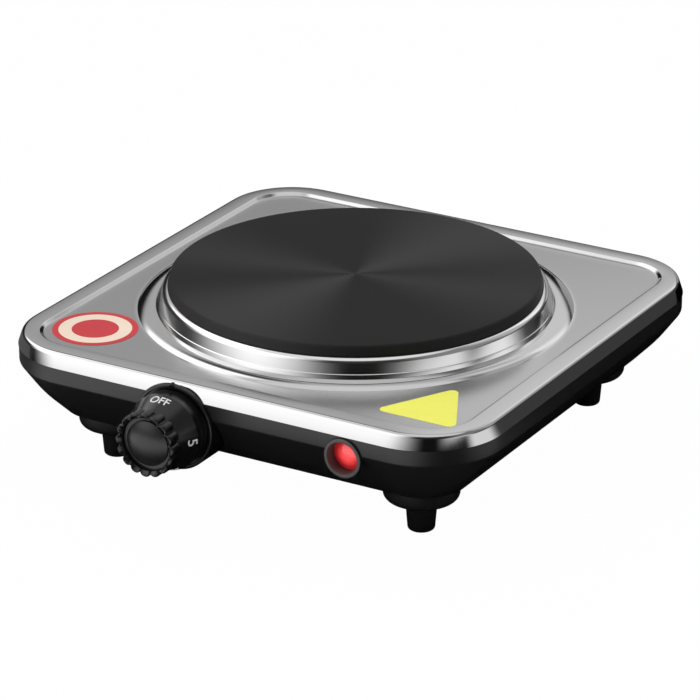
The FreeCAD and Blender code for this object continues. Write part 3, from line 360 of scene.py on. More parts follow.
def add(tree, kind, inputs=None, **properties):
    """New node with its properties and inputs."""
    node = tree.nodes.new(kind)
    for key, value in properties.items():
        setattr(node, key, value)
    feed(node, inputs or {})
    return node


def group(name, inputs, outputs, family="ShaderNodeTree"):
    """Empty node group: its tree, the sockets that come in and the node at its end."""
    tree = bpy.data.node_groups.new(name, family)
    for label, (kind, *default) in inputs.items():
        socket = tree.interface.new_socket(label, in_out="INPUT", socket_type="NodeSocket" + kind)
        if default:
            socket.default_value = default[0]
    for label, kind in outputs.items():
        tree.interface.new_socket(label, in_out="OUTPUT", socket_type="NodeSocket" + kind)
    return tree, add(tree, "NodeGroupInput").outputs, add(tree, "NodeGroupOutput")


def use(tree, name, **inputs):
    """Sockets that come out of a shader group."""
    return add(tree, "ShaderNodeGroup", inputs, node_tree=bpy.data.node_groups[name]).outputs


def place_on(tree):
    """Place on the object."""
    return add(tree, "ShaderNodeTexCoord").outputs["Object"]


def marked(tree, name):
    """Value noted on the mesh."""
    return add(tree, "ShaderNodeAttribute", attribute_name=name).outputs["Fac"]


def maths(operation, first, *others):
    """Result of a sum."""
    inputs = dict(enumerate((first, *others)))
    return add(first.id_data, "ShaderNodeMath", inputs, operation=operation).outputs[0]


def vectors(operation, first, *others):
    """Result of a vector sum: a number for a length or a dot product, or else a vector."""
    inputs = dict(enumerate((first, *others)))
    node = add(first.id_data, "ShaderNodeVectorMath", inputs, operation=operation)
    return node.outputs["Value" if operation in ("LENGTH", "DOT_PRODUCT") else "Vector"]


def noise(vector, scale, detail, roughness):
    """Tone of a noise."""
    inputs = {"Vector": vector, "Scale": scale, "Detail": detail, "Roughness": roughness}
    return add(vector.id_data, "ShaderNodeTexNoise", inputs).outputs["Fac"]


def between(tone, low, high):
    """Number between two ends, by a tone."""
    return add(tone.id_data, "ShaderNodeMapRange", {0: tone, 3: low, 4: high}).outputs[0]


def eased(value, start, stop, low=0.0, high=1.0):
    """Smooth change from low to high while a value goes from start to stop."""
    inputs = {0: value, 1: start, 2: stop, 3: low, 4: high}
    kind = "ShaderNodeMapRange"
    return add(value.id_data, kind, inputs, interpolation_type="SMOOTHSTEP").outputs[0]


def soft_range(value, low, high):
    """Mask that is one between two ends, each given by its place and softness."""
    rise = eased(value, low[0] - low[1], low[0] + low[1])
    fall = eased(value, high[0] - high[1], high[0] + high[1], 1.0, 0.0)
    return maths("MULTIPLY", rise, fall)


def mixed(share, first, second):
    """Colour between two others."""
    inputs = {0: share, 6: first, 7: second}
    return add(share.id_data, "ShaderNodeMix", inputs, data_type="RGBA").outputs[2]


def blended(share, first, second):
    """Shader between two others."""
    inputs = {0: share, 1: first, 2: second}
    return add(share.id_data, "ShaderNodeMixShader", inputs).outputs[0]


# Materials


def grain_group():
    """Fine mottling for mouldings, coatings and print."""
    tree, start, end = group(
        "Grain",
        {"Scale": ("Float", 900.0), "Blotch": ("Float", 25.0)},
        {"Tone": "Float", "Height": "Float"},
    )
    place = place_on(tree)
    fine = noise(place, start["Scale"], 3.0, 0.6)
    broad = noise(place, start["Blotch"], 2.0, 0.5)
    tone = maths("MULTIPLY_ADD", fine, 0.45, maths("MULTIPLY", broad, 0.55))
    feed(end, {"Tone": tone, "Height": fine})


def brushed_group():
    """Straight polishing lines along one way of the sheet."""
    tree, start, end = group(
        "Brushed Lines",
        {"Along": ("Float", 6.0), "Across": ("Float", 2400.0)},
        {"Tone": "Float", "Height": "Float"},
    )
    stretch = add(tree, "ShaderNodeCombineXYZ", {0: start["Along"], 1: start["Across"], 2: 40.0})
    lines = noise(vectors("MULTIPLY", place_on(tree), stretch.outputs[0]), 1.0, 4.0, 0.7)
    feed(end, {"Tone": lines, "Height": lines})


def outward(tree):
    """Level way out from the upright axis through the body's middle."""
    centred = vectors("SUBTRACT", place_on(tree), (0, MIDDLE_Y, 0))
    return vectors("MULTIPLY", centred, (1, 1, 0))


def turned_group():
    """Rings left by turning, about an upright axis through the body's middle."""
    tree, start, end = group(
        "Turned Rings", {"Rings": ("Float", 1800.0)}, {"Tone": "Float", "Height": "Float"}
    )
    row = maths("MULTIPLY", vectors("LENGTH", outward(tree)), start["Rings"])
    lines = noise(add(tree, "ShaderNodeCombineXYZ", {0: row}).outputs[0], 1.0, 3.0, 0.6)
    feed(end, {"Tone": lines, "Height": lines})


def bearing_group(azimuth):
    """Bearing in degrees from the camera's side, positive to the right, and height in degrees."""
    _, start, end = group(
        "Stage Bearing",
        {"Direction": ("Vector", (0, 0, 1))},
        {"Bearing": "Float", "Height": "Float"},
    )
    unit = vectors("NORMALIZE", start["Direction"])
    near = vectors("DOT_PRODUCT", unit, (math.sin(azimuth), -math.cos(azimuth), 0))
    right = vectors("DOT_PRODUCT", unit, (math.cos(azimuth), math.sin(azimuth), 0))
    up = vectors("DOT_PRODUCT", unit, (0, 0, 1))
    bearing = maths("DEGREES", maths("ARCTAN2", right, near))
    feed(end, {"Bearing": bearing, "Height": maths("DEGREES", maths("ARCSINE", up))})


def surface(name, constants):
    """Principled shader of a new material, with its constant inputs."""
    material = bpy.data.materials.new(name)
    material.use_nodes = True
    shader = material.node_tree.nodes["Principled BSDF"]
    feed(shader, constants)
    return shader


def vary_colour(shader, tone, colour, spread):
    """Base colour that runs a little darker and lighter with a tone."""
    dark, light = [
        (*[min(1, part * (1 + way * spread)) for part in colour], 1) for way in (-1, 1)
    ]
    feed(shader, {"Base Color": mixed(tone, dark, light)})


def vary_roughness(shader, tone, low, high):
    """Roughness between two values with a tone."""
    feed(shader, {"Roughness": between(tone, low, high)})


def raise_bump(shader, height, strength, distance):
    """Small relief from a height."""
    inputs = {0: strength, 1: distance, "Height": height}
    feed(shader, {"Normal": add(shader.id_data, "ShaderNodeBump", inputs).outputs[0]})


def moulded(name, colour, low, high, relief, scale=900.0, specular=0.5):
    """Moulded or coated surface with a fine grain, and roughness from low to high."""
    shader = surface(name, {"Specular IOR Level": specular})
    grain = use(shader.id_data, "Grain", Scale=scale)
    vary_colour(shader, grain["Tone"], colour, 0.15)
    vary_roughness(shader, grain["Tone"], low, high)
    raise_bump(shader, grain["Height"], relief, 0.0002)
    return shader


def sheet_metal(name, colour, low, high):
    """Plain rolled or plated metal, with roughness from low to high."""
    shader = surface(name, {"Metallic": 1.0})
    lines = use(shader.id_data, "Brushed Lines")
    vary_colour(shader, lines["Tone"], colour, 0.06)
    vary_roughness(shader, lines["Tone"], low, high)
    raise_bump(shader, lines["Height"], 0.03, 0.0001)


def cover_steel(colour):
    """Stainless cover: bright rim and skirt, satin panel with fine lines."""
    shader = surface("Cover Steel", {"Metallic": 1.0})
    lines = use(shader.id_data, "Brushed Lines")["Tone"]
    finish = between(marked(shader.id_data, "polish"), 0.25, 0.09)
    feed(shader, {"Roughness": maths("ADD", finish, between(lines, -0.02, 0.02))})
    vary_colour(shader, lines, colour, 0.05)


def ring_metal(colour):
    """Polished trim ring with faint turning marks."""
    shader = surface("Ring Bright", {"Metallic": 1.0})
    rings = use(shader.id_data, "Turned Rings", Rings=900.0)
    vary_colour(shader, rings["Tone"], colour, 0.04)
    vary_roughness(shader, rings["Tone"], 0.10, 0.17)


def plate_iron(colour):
    """Turned iron face under a thin black coating."""
    shader = surface("Plate Iron", {"Anisotropic": 1.0})
    rings = use(shader.id_data, "Turned Rings", Rings=1500.0)
    grain = use(shader.id_data, "Grain", Scale=1400.0, Blotch=18.0)
    vary_colour(shader, rings["Tone"], colour, 0.25)
    vary_roughness(shader, grain["Tone"], 0.55, 0.63)
    raise_bump(shader, rings["Height"], 0.05, 0.0002)
    feed(shader, {"Tangent": outward(shader.id_data)})


def lens_glow(s):
    """Red lens lit from inside, brightest in its middle."""
    constants = {"Roughness": 0.12, "Emission Strength": 0.9, "Coat Weight": 0.3}
    shader = surface("Lens Red", constants)
    grain = use(shader.id_data, "Grain", Scale=420.0, Blotch=160.0)
    vary_colour(shader, grain["Tone"], s.colour, 0.2)
    raise_bump(shader, grain["Height"], 0.15, 0.0004)
    apart = vectors("SUBTRACT", place_on(shader.id_data), (s.place_x, 0, s.place_z))
    reach = vectors("LENGTH", vectors("MULTIPLY", apart, (1, 0, 1)))
    hot, dim = (0.86, 0.085, 0.09, 1), (0.15, 0.004, 0.007, 1)
    feed(shader, {"Emission Color": mixed(eased(reach, 0.0014, 0.0070), hot, dim)})


def bezel_black():
    """Moulded bezel, its front and bore painted a lighter grey as painted light, while its outer
    side stays black as if in shade.
    """
    shader = moulded("Bezel Black", (0.012, 0.012, 0.012), 0.30, 0.40, 0.03)
    plain = shader.inputs["Base Color"].links[0].from_socket
    # Painted highlight: a lighter grey on the front face and bore, standing in for the light on
    # them
    painted_light = (0.080, 0.074, 0.073, 1)
    feed(shader, {"Base Color": mixed(marked(shader.id_data, "painted_light"), plain, painted_light)})


def lamp_glass():
    """Clear glass of the neon lamp."""
    shader = surface("Lamp Glass", {"Transmission Weight": 1.0, "IOR": 1.5})
    grain = use(shader.id_data, "Grain", Scale=300.0)
    vary_colour(shader, grain["Tone"], (0.95, 0.75, 0.6), 0.05)
    vary_roughness(shader, grain["Tone"], 0.02, 0.08)


class HOTPLATE_OT_finishes(bpy.types.Operator):
    """Make the shader groups and the materials, and give the inner parts theirs"""

    bl_idname = "hotplate.finishes"
    bl_label = "Finishes"

    def execute(self, context):
        scene = context.scene
        base, knob, lamp = scene.hotplate_base, scene.hotplate_knob, scene.hotplate_lamp
        grain_group()
        brushed_group()
        turned_group()
        cover_steel(scene.hotplate_cover.colour)
        ring_metal(scene.hotplate_burner.ring_colour)
        plate_iron(scene.hotplate_burner.plate_colour)
        lens_glow(lamp)
        lamp_glass()
        bezel_black()
        moulded("Base Black", base.colour, 0.30, 0.40, 0.05)
        moulded("Foot Black", base.colour, 0.32, 0.42, 0.05)
        moulded("Knob Black", knob.colour, 0.22, 0.30, 0.04)
        moulded("Knob Cap Grey", knob.cap_colour, 0.30, 0.36, 0.03)
        moulded("Dial Print", knob.print_colour, 0.5, 0.6, 0.02)
        moulded("Rubber Black", (0.018, 0.018, 0.018), 0.6, 0.75, 0.1)
        moulded("Insulator", (0.80, 0.77, 0.70), 0.6, 0.8, 0.15, scale=500.0)
        moulded("Wire Sleeve", (0.70, 0.66, 0.58), 0.6, 0.8, 0.2, scale=1500.0)
        for name, colour in (("Red", lamp.red), ("Cream", lamp.cream), ("Yellow", lamp.yellow)):
            moulded("Label " + name, colour, 0.35, 0.45, 0.02, specular=0.2)
        sheet_metal("Plain Steel", (0.55, 0.55, 0.53), 0.25, 0.40)
        sheet_metal("Shield Sheet", (0.80, 0.80, 0.80), 0.12, 0.22)
        sheet_metal("Coil Wire", (0.30, 0.28, 0.26), 0.40, 0.55)
        sheet_metal("Brass Parts", (0.75, 0.55, 0.25), 0.20, 0.32)
        sheet_metal("Contact Silver", (0.88, 0.87, 0.84), 0.15, 0.25)
        slots = {entry["node"]: entry["material_slot"] for entry in frame["record"]["subparts"]}
        for node, piece in frame["nodes"].items():
            paint(piece, slots[node].replace("_", " ").title())
        return {"FINISHED"}


# Cover

STEP_BENDS = (0.0008, 0.0009)
PANEL_RUN = 0.0016
BOSS_RUN = 0.0020
BOSS_BEND = 0.0005
SHOULDER_SHARE = 0.95
BOSS_POLISH = 0.95
RIM_POLISH = 0.45


def cover_corner(s, half):
    """Corner radius that goes with a width."""
    table = [
        (s.panel_half, s.panel_corner),
        (s.step_half, s.panel_corner + s.step_half - s.panel_half),
        (s.rim_half, s.rim_corner),
        (s.skirt_half, s.skirt_corner),
    ]
    for (near, low), (far, high) in zip(table, table[1:]):
        if half <= far:
            return low + (high - low) * (half - near) / (far - near)
    return s.skirt_corner


def cover_side(s, shrink):
    """Loops from the skirt's edge over the rim to the burner's hole."""
    rim, panel, boss = s.rim_top - shrink, s.panel_top - shrink, s.boss_top - shrink
    squares = soften(
        [
            (s.skirt_half - shrink, s.skirt_base), (s.rim_half - shrink, rim),
            (s.step_half + shrink, rim), (s.panel_half + shrink, panel),
            (s.panel_half - PANEL_RUN, panel),
        ],
        [s.rim_round - shrink, *STEP_BENDS],
        8,
    )
    rise = s.boss_top - s.panel_top
    bend = math.acos(1 - rise / s.boss_round)
    foot = s.boss_out - shrink * math.tan(bend / 2)
    rounds = soften(
        [
            (s.boss_out + BOSS_RUN, panel), (foot, panel),
            (foot - rise / math.tan(bend), boss), (s.hole, boss),
        ],
        [BOSS_BEND, SHOULDER_SHARE * s.boss_round],
        14,
    )
    loops = [square_loop(half, cover_corner(s, half) - shrink, z) for half, z in squares]
    like = square_loop(s.panel_half, s.panel_corner, 0)
    return loops + [round_loop(radius, z, like) for radius, z in rounds]


def mark_polish(s, piece):
    """Note on the mesh how bright each part is: skirt most, then boss, rim and panel."""
    polish = piece.data.attributes.new("polish", "FLOAT", "POINT")
    for vertex, entry in zip(piece.data.vertices, polish.data):
        x, y, z = vertex.co
        if math.hypot(x, y - MIDDLE_Y) < s.boss_out + 0.0002:
            entry.value = BOSS_POLISH
        elif z > s.panel_top + 0.0003:
            entry.value = RIM_POLISH if vertex.normal.z > 0.97 else 1.0
        else:
            entry.value = 0.0 if abs(vertex.normal.z) > 0.8 else 1.0


class HOTPLATE_OT_cover(bpy.types.Operator):
    """Build the pressed cover with its rounded rim, step and raised boss"""

    bl_idname = "hotplate.cover"
    bl_label = "Cover"

    def execute(self, context):
        s = context.scene.hotplate_cover
        loops = cover_side(s, 0.0) + list(reversed(cover_side(s, s.sheet)))
        piece = skin("cover_skin", loops, closed=True)
        mark_polish(s, piece)
        finish_piece(piece, "Cover Steel", "housing", "cover_steel", "top_cover")
        return {"FINISHED"}


# Burner

RING_SHEET = 0.0008
RING_HOLE = 0.0898


class HOTPLATE_OT_burner(bpy.types.Operator):
    """Build the turned plate and its trim ring"""

    bl_idname = "hotplate.burner"
    bl_label = "Burner"

    def execute(self, context):
        s = context.scene.hotplate_burner
        upright = standing(0, MIDDLE_Y)
        under = PLATE_BOX[0][2]
        plate = soften(
            [
                (PIN, s.face), (0.06, s.face), (s.face_radius, s.face), (s.plate_radius, s.seat),
                (s.body_radius, s.seat), (s.body_radius, under), (PIN, under),
            ],
            [0, 0.0013, 0.0004, 0.0003, 0.0005],
            8,
        )
        piece = spun("burner_plate", plate, upright)
        finish_piece(piece, "Plate Iron", "housing", "plate_iron", "heating_plate")
        low = context.scene.hotplate_cover.boss_top
        top, inside = s.seat, s.seat - RING_SHEET
        ring = soften(
            [
                (RING_HOLE, top), (0.0944, top), (0.0971, low + 0.0022), (0.0974, low + 0.0020),
                (0.0982, low + 0.0001), (0.0982, low), (0.0972, low), (0.0966, low + 0.0013),
                (0.0962, low + 0.0015), (0.0939, inside), (RING_HOLE, inside), (RING_HOLE, top),
            ],
            [0.0036, 0.0003, 0.0002, 0.00005, 0.00005, 0.0002, 0.0002, 0.0002, 0.0028, 0.0002],
            12,
        )
        piece = spun("burner_ring", ring[:-1], upright, closed=True)
        finish_piece(piece, "Ring Bright", "housing", "ring_bright", "trim_ring")
        return {"FINISHED"}


# Repeats


def repeat_tree(name, grid):
    """Geometry tree that sets copies of a source object on a row or a square of points."""
    tree, start, end = group(
        name,
        {
            "Geometry": ["Geometry"], "Source": ["Object"], "Count": ["Int"], "Pitch": ["Float"],
            "Middle": ["Vector"], "Material": ["Material"],
        },
        {"Geometry": "Geometry"},
        "GeometryNodeTree",
    )
    count = start["Count"]
    source = add(
        tree, "GeometryNodeObjectInfo", {"Object": start["Source"]}, transform_space="RELATIVE"
    )
    span = maths("MULTIPLY", maths("SUBTRACT", count, 1.0), start["Pitch"])
    points = add(tree, "GeometryNodeMeshGrid", {
        "Size X": span, "Vertices X": count,
        "Size Y": span if grid else 0.0, "Vertices Y": count if grid else 1,
    })
    shape = add(tree, "GeometryNodeInstanceOnPoints", {
        "Points": points.outputs["Mesh"], "Instance": source.outputs["Geometry"],
    })
    for kind, inputs in (
        ("Transform", {"Translation": start["Middle"]}),
        ("RealizeInstances", {}),
        ("SetMaterial", {"Material": start["Material"]}),
    ):
        shape = add(tree, "GeometryNode" + kind, {"Geometry": shape.outputs[0], **inputs})
    feed(end, {"Geometry": shape.outputs[0]})
    return tree


def repeated(name, source, grid, count, pitch, material):
    """Mesh object of copies about the body's middle; the source is removed."""
    piece = linked(name, bpy.data.meshes.new(name))
    tree = repeat_tree(name + "_tree", grid)
    modifier = piece.modifiers.new("Repeat", "NODES")
    modifier.node_group = tree
    values = {
        "Source": source, "Count": count, "Pitch": pitch, "Middle": (0, MIDDLE_Y, 0),
        "Material": bpy.data.materials[material],
    }
    for item in tree.interface.items_tree:
        if item.in_out == "INPUT" and item.name in values:
            modifier[item.identifier] = values[item.name]
    baked(piece)
    drop(source)
    return piece


# Base and feet

FLOOR_THICK = 0.0022
FLOOR_INNER = 0.060
LEAST_CORNER = 0.004
VENT_HALF = 0.028
VENT_RADIUS = 0.002
PILLAR_X = 0.099
PILLAR_Y = 0.0612
SCREW_RADIUS = 0.0020
SHAFT_RADIUS = 0.0039
SHAFT_TOP = 0.0490
PILLAR_RADIUS = 0.0054
PILLAR_TOP = 0.0580
SPINDLE_HOLE = 0.0052
LAMP_HOLE = 0.0099
CORD_HOLE = 0.0056
CORD_X = 0.070
BRACKET_SCREWS = (-0.0315, 0.0085)
BRACKET_LINE = 0.0954
COLLAR_RADIUS = 0.0184
COLLAR_BASE = 0.0160


def rear_wall_place(b):
    """Places on a turned piece that stands square on the base's rear slope."""
    run = b.band_half - b.floor_half
    rise = b.band_base - b.floor
    normal = Vector((0, rise, -run)).normalized()
    side = Vector((1, 0, 0))
    up = normal.cross(side)
    origin = Vector((CORD_X, b.floor_half + run / 2 + MIDDLE_Y, b.floor + rise / 2))

    def place(radius, turn, ahead):
        across = side * radius * math.cos(turn) + up * radius * math.sin(turn)
        return origin + across + normal * ahead
    return place


def slope_share(b, height):
    """How far up the base's slope a height is, from zero to one."""
    return min(1.0, max(0.0, (height - b.floor) / (b.band_base - b.floor)))


def slot_cutter(ends):
    """Round-ended slot along Y, made about the origin."""
    loops = []
    for height in ends:
        loop = []
        for turn in circle(24):
            along = VENT_RADIUS * math.sin(turn)
            along += math.copysign(VENT_HALF, along)
            loop.append((VENT_RADIUS * math.cos(turn), along, height))
        loops.append(loop)
    return skin("slot_cutter", loops)


def hole_cutter(place, radius, ends, steps):
    """Round bar that cuts a hole."""
    return spun("hole", [(radius, end) for end in ends], place, steps)


def base_shell(s):
    """Outside and inside of the pan as one closed skin."""
    inner = s.floor + FLOOR_THICK
    run = s.band_half - s.floor_half
    inside = s.floor_half - s.wall + run / (s.band_base - s.floor) * FLOOR_THICK
    band_inside = s.band_half - s.wall
    middle = ((s.floor_half + s.band_half) / 2 + s.bulge, (s.floor + s.band_base) / 2 - s.bulge)
    table = soften(
        [
            (FLOOR_INNER, s.floor), (s.floor_half, s.floor), middle, (s.band_half, s.band_base),
            (s.band_half, BAND_TOP), (band_inside, BAND_TOP), (band_inside, s.band_base),
            (inside, inner), (FLOOR_INNER, inner),
        ],
        [0.0020, 0.09, 0.0022, 0.0004, 0.0004, 0.002, 0.002],
    )
    loops = []
    for half, height in table:
        share = slope_share(s, height)
        corner = s.floor_corner + (s.band_corner - s.floor_corner) * share
        inset = max(0.0, s.floor_half + run * share - half)
        loops.append(square_loop(half, max(LEAST_CORNER, corner - inset), height))
    return skin("base_shell", loops, sharp=30)


def pillar(s, place):
    """Hollow pillar for a screw."""
    foot = s.floor + 0.0003
    wall = [
        (SHAFT_RADIUS, foot), (PILLAR_RADIUS, foot), (PILLAR_RADIUS, PILLAR_TOP),
        (SCREW_RADIUS, PILLAR_TOP), (SCREW_RADIUS, SHAFT_TOP), (SHAFT_RADIUS, SHAFT_TOP),
    ]
    return spun("pillar", wall, place, 40, closed=True)


class HOTPLATE_OT_base(bpy.types.Operator):
    """Build the moulded base with its vents and screw pillars"""

    bl_idname = "hotplate.base"
    bl_label = "Base"

    def execute(self, context):
        scene = context.scene
        s = scene.hotplate_base
        piece = base_shell(s)
        through = (s.floor - 0.002, s.floor + 0.004)
        slot = slot_cutter(through)
        cutters = [repeated("vent_cutters", slot, False, s.vent_count, s.vent_pitch, "Base Black")]
        pillars = []
        for x in (-PILLAR_X, PILLAR_X):
            for y in (-PILLAR_Y, PILLAR_Y):
                place = standing(x, y + MIDDLE_Y)
                cutters.append(hole_cutter(place, SHAFT_RADIUS, through, 40))
                pillars.append(pillar(s, place))
        front_holes = ((scene.hotplate_knob, SPINDLE_HOLE), (scene.hotplate_lamp, LAMP_HOLE))
        for owner, radius in front_holes:
            cutters.append(hole_cutter(forward(owner), radius, (-0.0300, 0.0050), 72))
        for x in BRACKET_SCREWS:
            place = standing(x, MIDDLE_Y - BRACKET_LINE)
            cutters.append(hole_cutter(place, SCREW_RADIUS, through, 32))
        cutters.append(hole_cutter(rear_wall_place(s), CORD_HOLE, (-0.0060, 0.0040), 40))
        cutter = joined("floor_cutter", cutters)
        cut = piece.modifiers.new("Openings", "BOOLEAN")
        cut.operation = "DIFFERENCE"
        cut.solver = "EXACT"
        cut.object = cutter
        baked(piece)
        drop(cutter)
        whole = joined("base_moulding", [piece] + pillars)
        shade(whole, 30)
        finish_piece(whole, "Base Black", "housing", "base_black", "base_pan")
        return {"FINISHED"}


class HOTPLATE_OT_feet(bpy.types.Operator):
    """Build the feet: a collar under the base and a tapered post"""

    bl_idname = "hotplate.feet"
    bl_label = "Feet"

    def execute(self, context):
        s = context.scene.hotplate_base
        profile = soften(
            [
                (PIN, s.floor), (COLLAR_RADIUS, s.floor), (COLLAR_RADIUS, COLLAR_BASE),
                (0.0078, COLLAR_BASE), (0.0065, 0.0), (PIN, 0.0),
            ],
            [0.0003, 0.0040, 0.0008, 0.0016],
            8,
        )
        source = spun("foot_source", profile, standing(0, 0), 72)
        feet = repeated("feet_set", source, True, 2, 2 * s.foot_place, "Foot Black")
        shade(feet, 30)
        nodes = ["foot_front_left", "foot_front_right", "foot_rear_left", "foot_rear_right"]
        finish_piece(feet, "Foot Black", "housing", "foot_black", *nodes)
        return {"FINISHED"}


# Knob: distances ahead are from the surround's front face

CONE_REAR = 0.0074
CONE_SPLIT = 0.0112
SKIRT_RADIUS = 0.0164
SKIRT_REAR = -0.0014
LOBE_SHARE = 0.82
LOBE_END = 0.0016
GRIP_FRONT = 0.0241
GRIP_ROUND = 0.0009
GRIP_ROWS = [0.0166 + 0.0002 * step for step in range(21)] + [0.0220, GRIP_FRONT]
GRIP_CHAMFER = ((0.0133, 0.0238), (0.0131, 0.0234), (0.0130, 0.0216), (0.0114, 0.0214))
CAP_RADIUS = 0.0112
CAP_SEAT = 0.0212
CAP_EDGE = 0.0222
CAP_CROWN = 0.0032
STEP_BEARINGS = (-68.0, -112.0, -158.0, -208.0, -270.0)
CAPITAL_SHARE = 0.72
PRINT_SHARE = 0.74
SURROUND_HOLE = 0.0056
SKIRT_FACE = 0.13055
LIP_RADIUS = 0.0197
LIP_DEPTH = -0.00175


def cone_radius(s, ahead):
    """Radius of the dial's cone."""
    share = (ahead - CONE_REAR) / (s.cone_front - CONE_REAR)
    return s.dial_radius + (s.grip_core - s.dial_radius) * min(1.0, max(0.0, share))


def lobed_radius(s, turn, ahead):
    """Radius over the grip at an angle; the lobes have round rear ends."""
    pitch = 2 * math.pi / s.lobes
    across = abs(((turn / pitch + 0.5) % 1.0) - 0.5) * 2 / LOBE_SHARE
    behind = max(0.0, (s.lobe_rear - ahead) / LOBE_END)
    bump = math.sqrt(max(0.0, 1 - across * across - behind * behind))
    root = s.grip_core if behind else s.lobe_root
    return root + (s.grip_radius - root) * bump


def knob_body(s):
    """Dial, cone and lobed grip as one skin, open to the cap's seat."""
    place = forward(s)
    turns = circle(s.lobes * 18)
    dial = soften(
        [
            (SKIRT_RADIUS, 0.0050), (SKIRT_RADIUS, SKIRT_REAR), (0.0184, SKIRT_REAR),
            (s.dial_radius, 0.0066), (s.dial_radius, CONE_REAR),
            (cone_radius(s, CONE_SPLIT), CONE_SPLIT),
        ],
        [0.0003, 0.0004, 0.0005, 0.0005],
        5,
    )
    loops = [[place(radius, turn, ahead) for turn in turns] for radius, ahead in dial]
    for ahead in GRIP_ROWS:
        cone = cone_radius(s, ahead)
        loops.append([place(max(cone, lobed_radius(s, t, ahead)), t, ahead) for t in turns])
    for step in range(1, 7):
        turned = math.pi / 2 * step / 6
        ahead = GRIP_FRONT + GRIP_ROUND * math.sin(turned)
        inset = GRIP_ROUND * (1 - math.cos(turned))
        loops.append([place(lobed_radius(s, t, ahead) - inset, t, ahead) for t in turns])
    for radius, ahead in GRIP_CHAMFER:
        loops.append([place(radius, turn, ahead) for turn in turns])
    return skin("knob_body", loops, sharp=40)


def knob_cap(s):
    """Smooth crowned disc in the grip's front."""
    profile = [(CAP_RADIUS, CAP_SEAT)]
    for step in range(24):
        share = 1 - step / 24.2
        profile.append((CAP_RADIUS * share, CAP_EDGE + CAP_CROWN * (1 - share ** 2.2)))
    return spun("knob_cap_disc", profile, forward(s), SMALL_STEPS, sharp=50)


def dial_words(s):
    """Dial print laid on the cone: off at the top, then steps the other way round."""
    place = forward(s)
    marks = [("OFF", 0.0, 0.0043)]
    marks += [(str(step), bearing, 0.0056) for step, bearing in enumerate(STEP_BEARINGS, 1)]
    depth = s.cone_front - CONE_REAR
    fall = s.dial_radius - s.grip_core
    slope = math.hypot(fall, depth)
    pieces = []
    for text, bearing, height in marks:
        curve = bpy.data.curves.new("mark", "FONT")
        curve.body = text
        curve.size = height / CAPITAL_SHARE
        curve.align_x = "CENTER"
        curve.align_y = "CENTER"
        curve.extrude = 0.00003
        curve.offset = 0.00007
        holder = linked("mark", curve)
        mesh = evaluated(holder)
        bpy.data.objects.remove(holder)
        bpy.data.curves.remove(curve)
        for vertex in mesh.vertices:
            along, up, out = vertex.co
            share = PRINT_SHARE + up / slope
            radius = s.grip_core + fall * share
            ahead = s.cone_front - depth * share
            lift = out + 0.00004
            turn = math.radians(bearing) + along / radius
            vertex.co = place(radius + lift * depth / slope, turn, ahead + lift * fall / slope)
        pieces.append(linked("mark", mesh))
    return joined("knob_print", pieces)


def dial_surround(s, b):
    """Round surround that follows the base's wall behind it."""
    turns = circle(160)

    def wall(height):
        if height > BAND_TOP - 0.0004:
            return MIDDLE_Y - SKIRT_FACE
        run = (b.band_half - b.floor_half) * slope_share(b, height)
        return -(b.floor_half + run) + MIDDLE_Y + 0.0002

    def ring(radius, ahead=None):
        loop = []
        for turn in turns:
            height = s.place_z + radius * math.cos(turn)
            y = wall(height) if ahead is None else s.front - ahead
            loop.append(Vector((s.place_x + radius * math.sin(turn), y, height)))
        return loop

    outer = s.surround_radius
    rows = [ring(radius) for radius in (SURROUND_HOLE, 0.0140, outer)]
    lip = [
        (outer, -0.0016), (outer, 0.0), (LIP_RADIUS, 0.0), (LIP_RADIUS, LIP_DEPTH),
        (SURROUND_HOLE, LIP_DEPTH),
    ]
    rows += [ring(radius, ahead) for radius, ahead in soften(lip, [0.0006, 0.0003, 0.0001])]
    return skin("dial_surround", rows, closed=True, sharp=40)


def dial_pointer(s):
    """Small raised pointer at the top of the surround."""
    top = s.place_z + s.surround_radius
    rows = []
    for y, half, rise in ((s.front, 0.0018, 0.0013), (s.front + 0.0016, 0.0015, 0.0008)):
        tip, low, high = half * 0.2, top - 0.0012, top + rise
        outline = [(-half, low), (half, low), (tip, high), (-tip, high)]
        rows.append([(s.place_x + x, y, z) for x, z in outline])
    return skin("pointer", rows)


class HOTPLATE_OT_knob(bpy.types.Operator):
    """Build the knob with its lobed grip, cap, dial print and surround"""

    bl_idname = "hotplate.knob"
    bl_label = "Knob"

    def execute(self, context):
        s = context.scene.hotplate_knob
        finish_piece(knob_body(s), "Knob Black", "knob", "knob_black", "knob")
        finish_piece(knob_cap(s), "Knob Cap Grey", "knob", "knob_cap_grey", "knob_cap")
        finish_piece(dial_words(s), "Dial Print", "knob", "knob_black")
        disc = dial_surround(s, context.scene.hotplate_base)
        surround = joined("knob_surround", [disc, dial_pointer(s)])
        shade(surround, 40)
        finish_piece(surround, "Knob Black", "housing", "base_black", "knob_escutcheon")
        return {"FINISHED"}


# Lamp: distances ahead are from the bezel's front face

BEZEL_WALL = 0.0019
BEZEL_REAR = -0.0255
LENS_REAR = -0.0190
LENS_EDGE = -0.0066
LENS_RISE = 0.0016


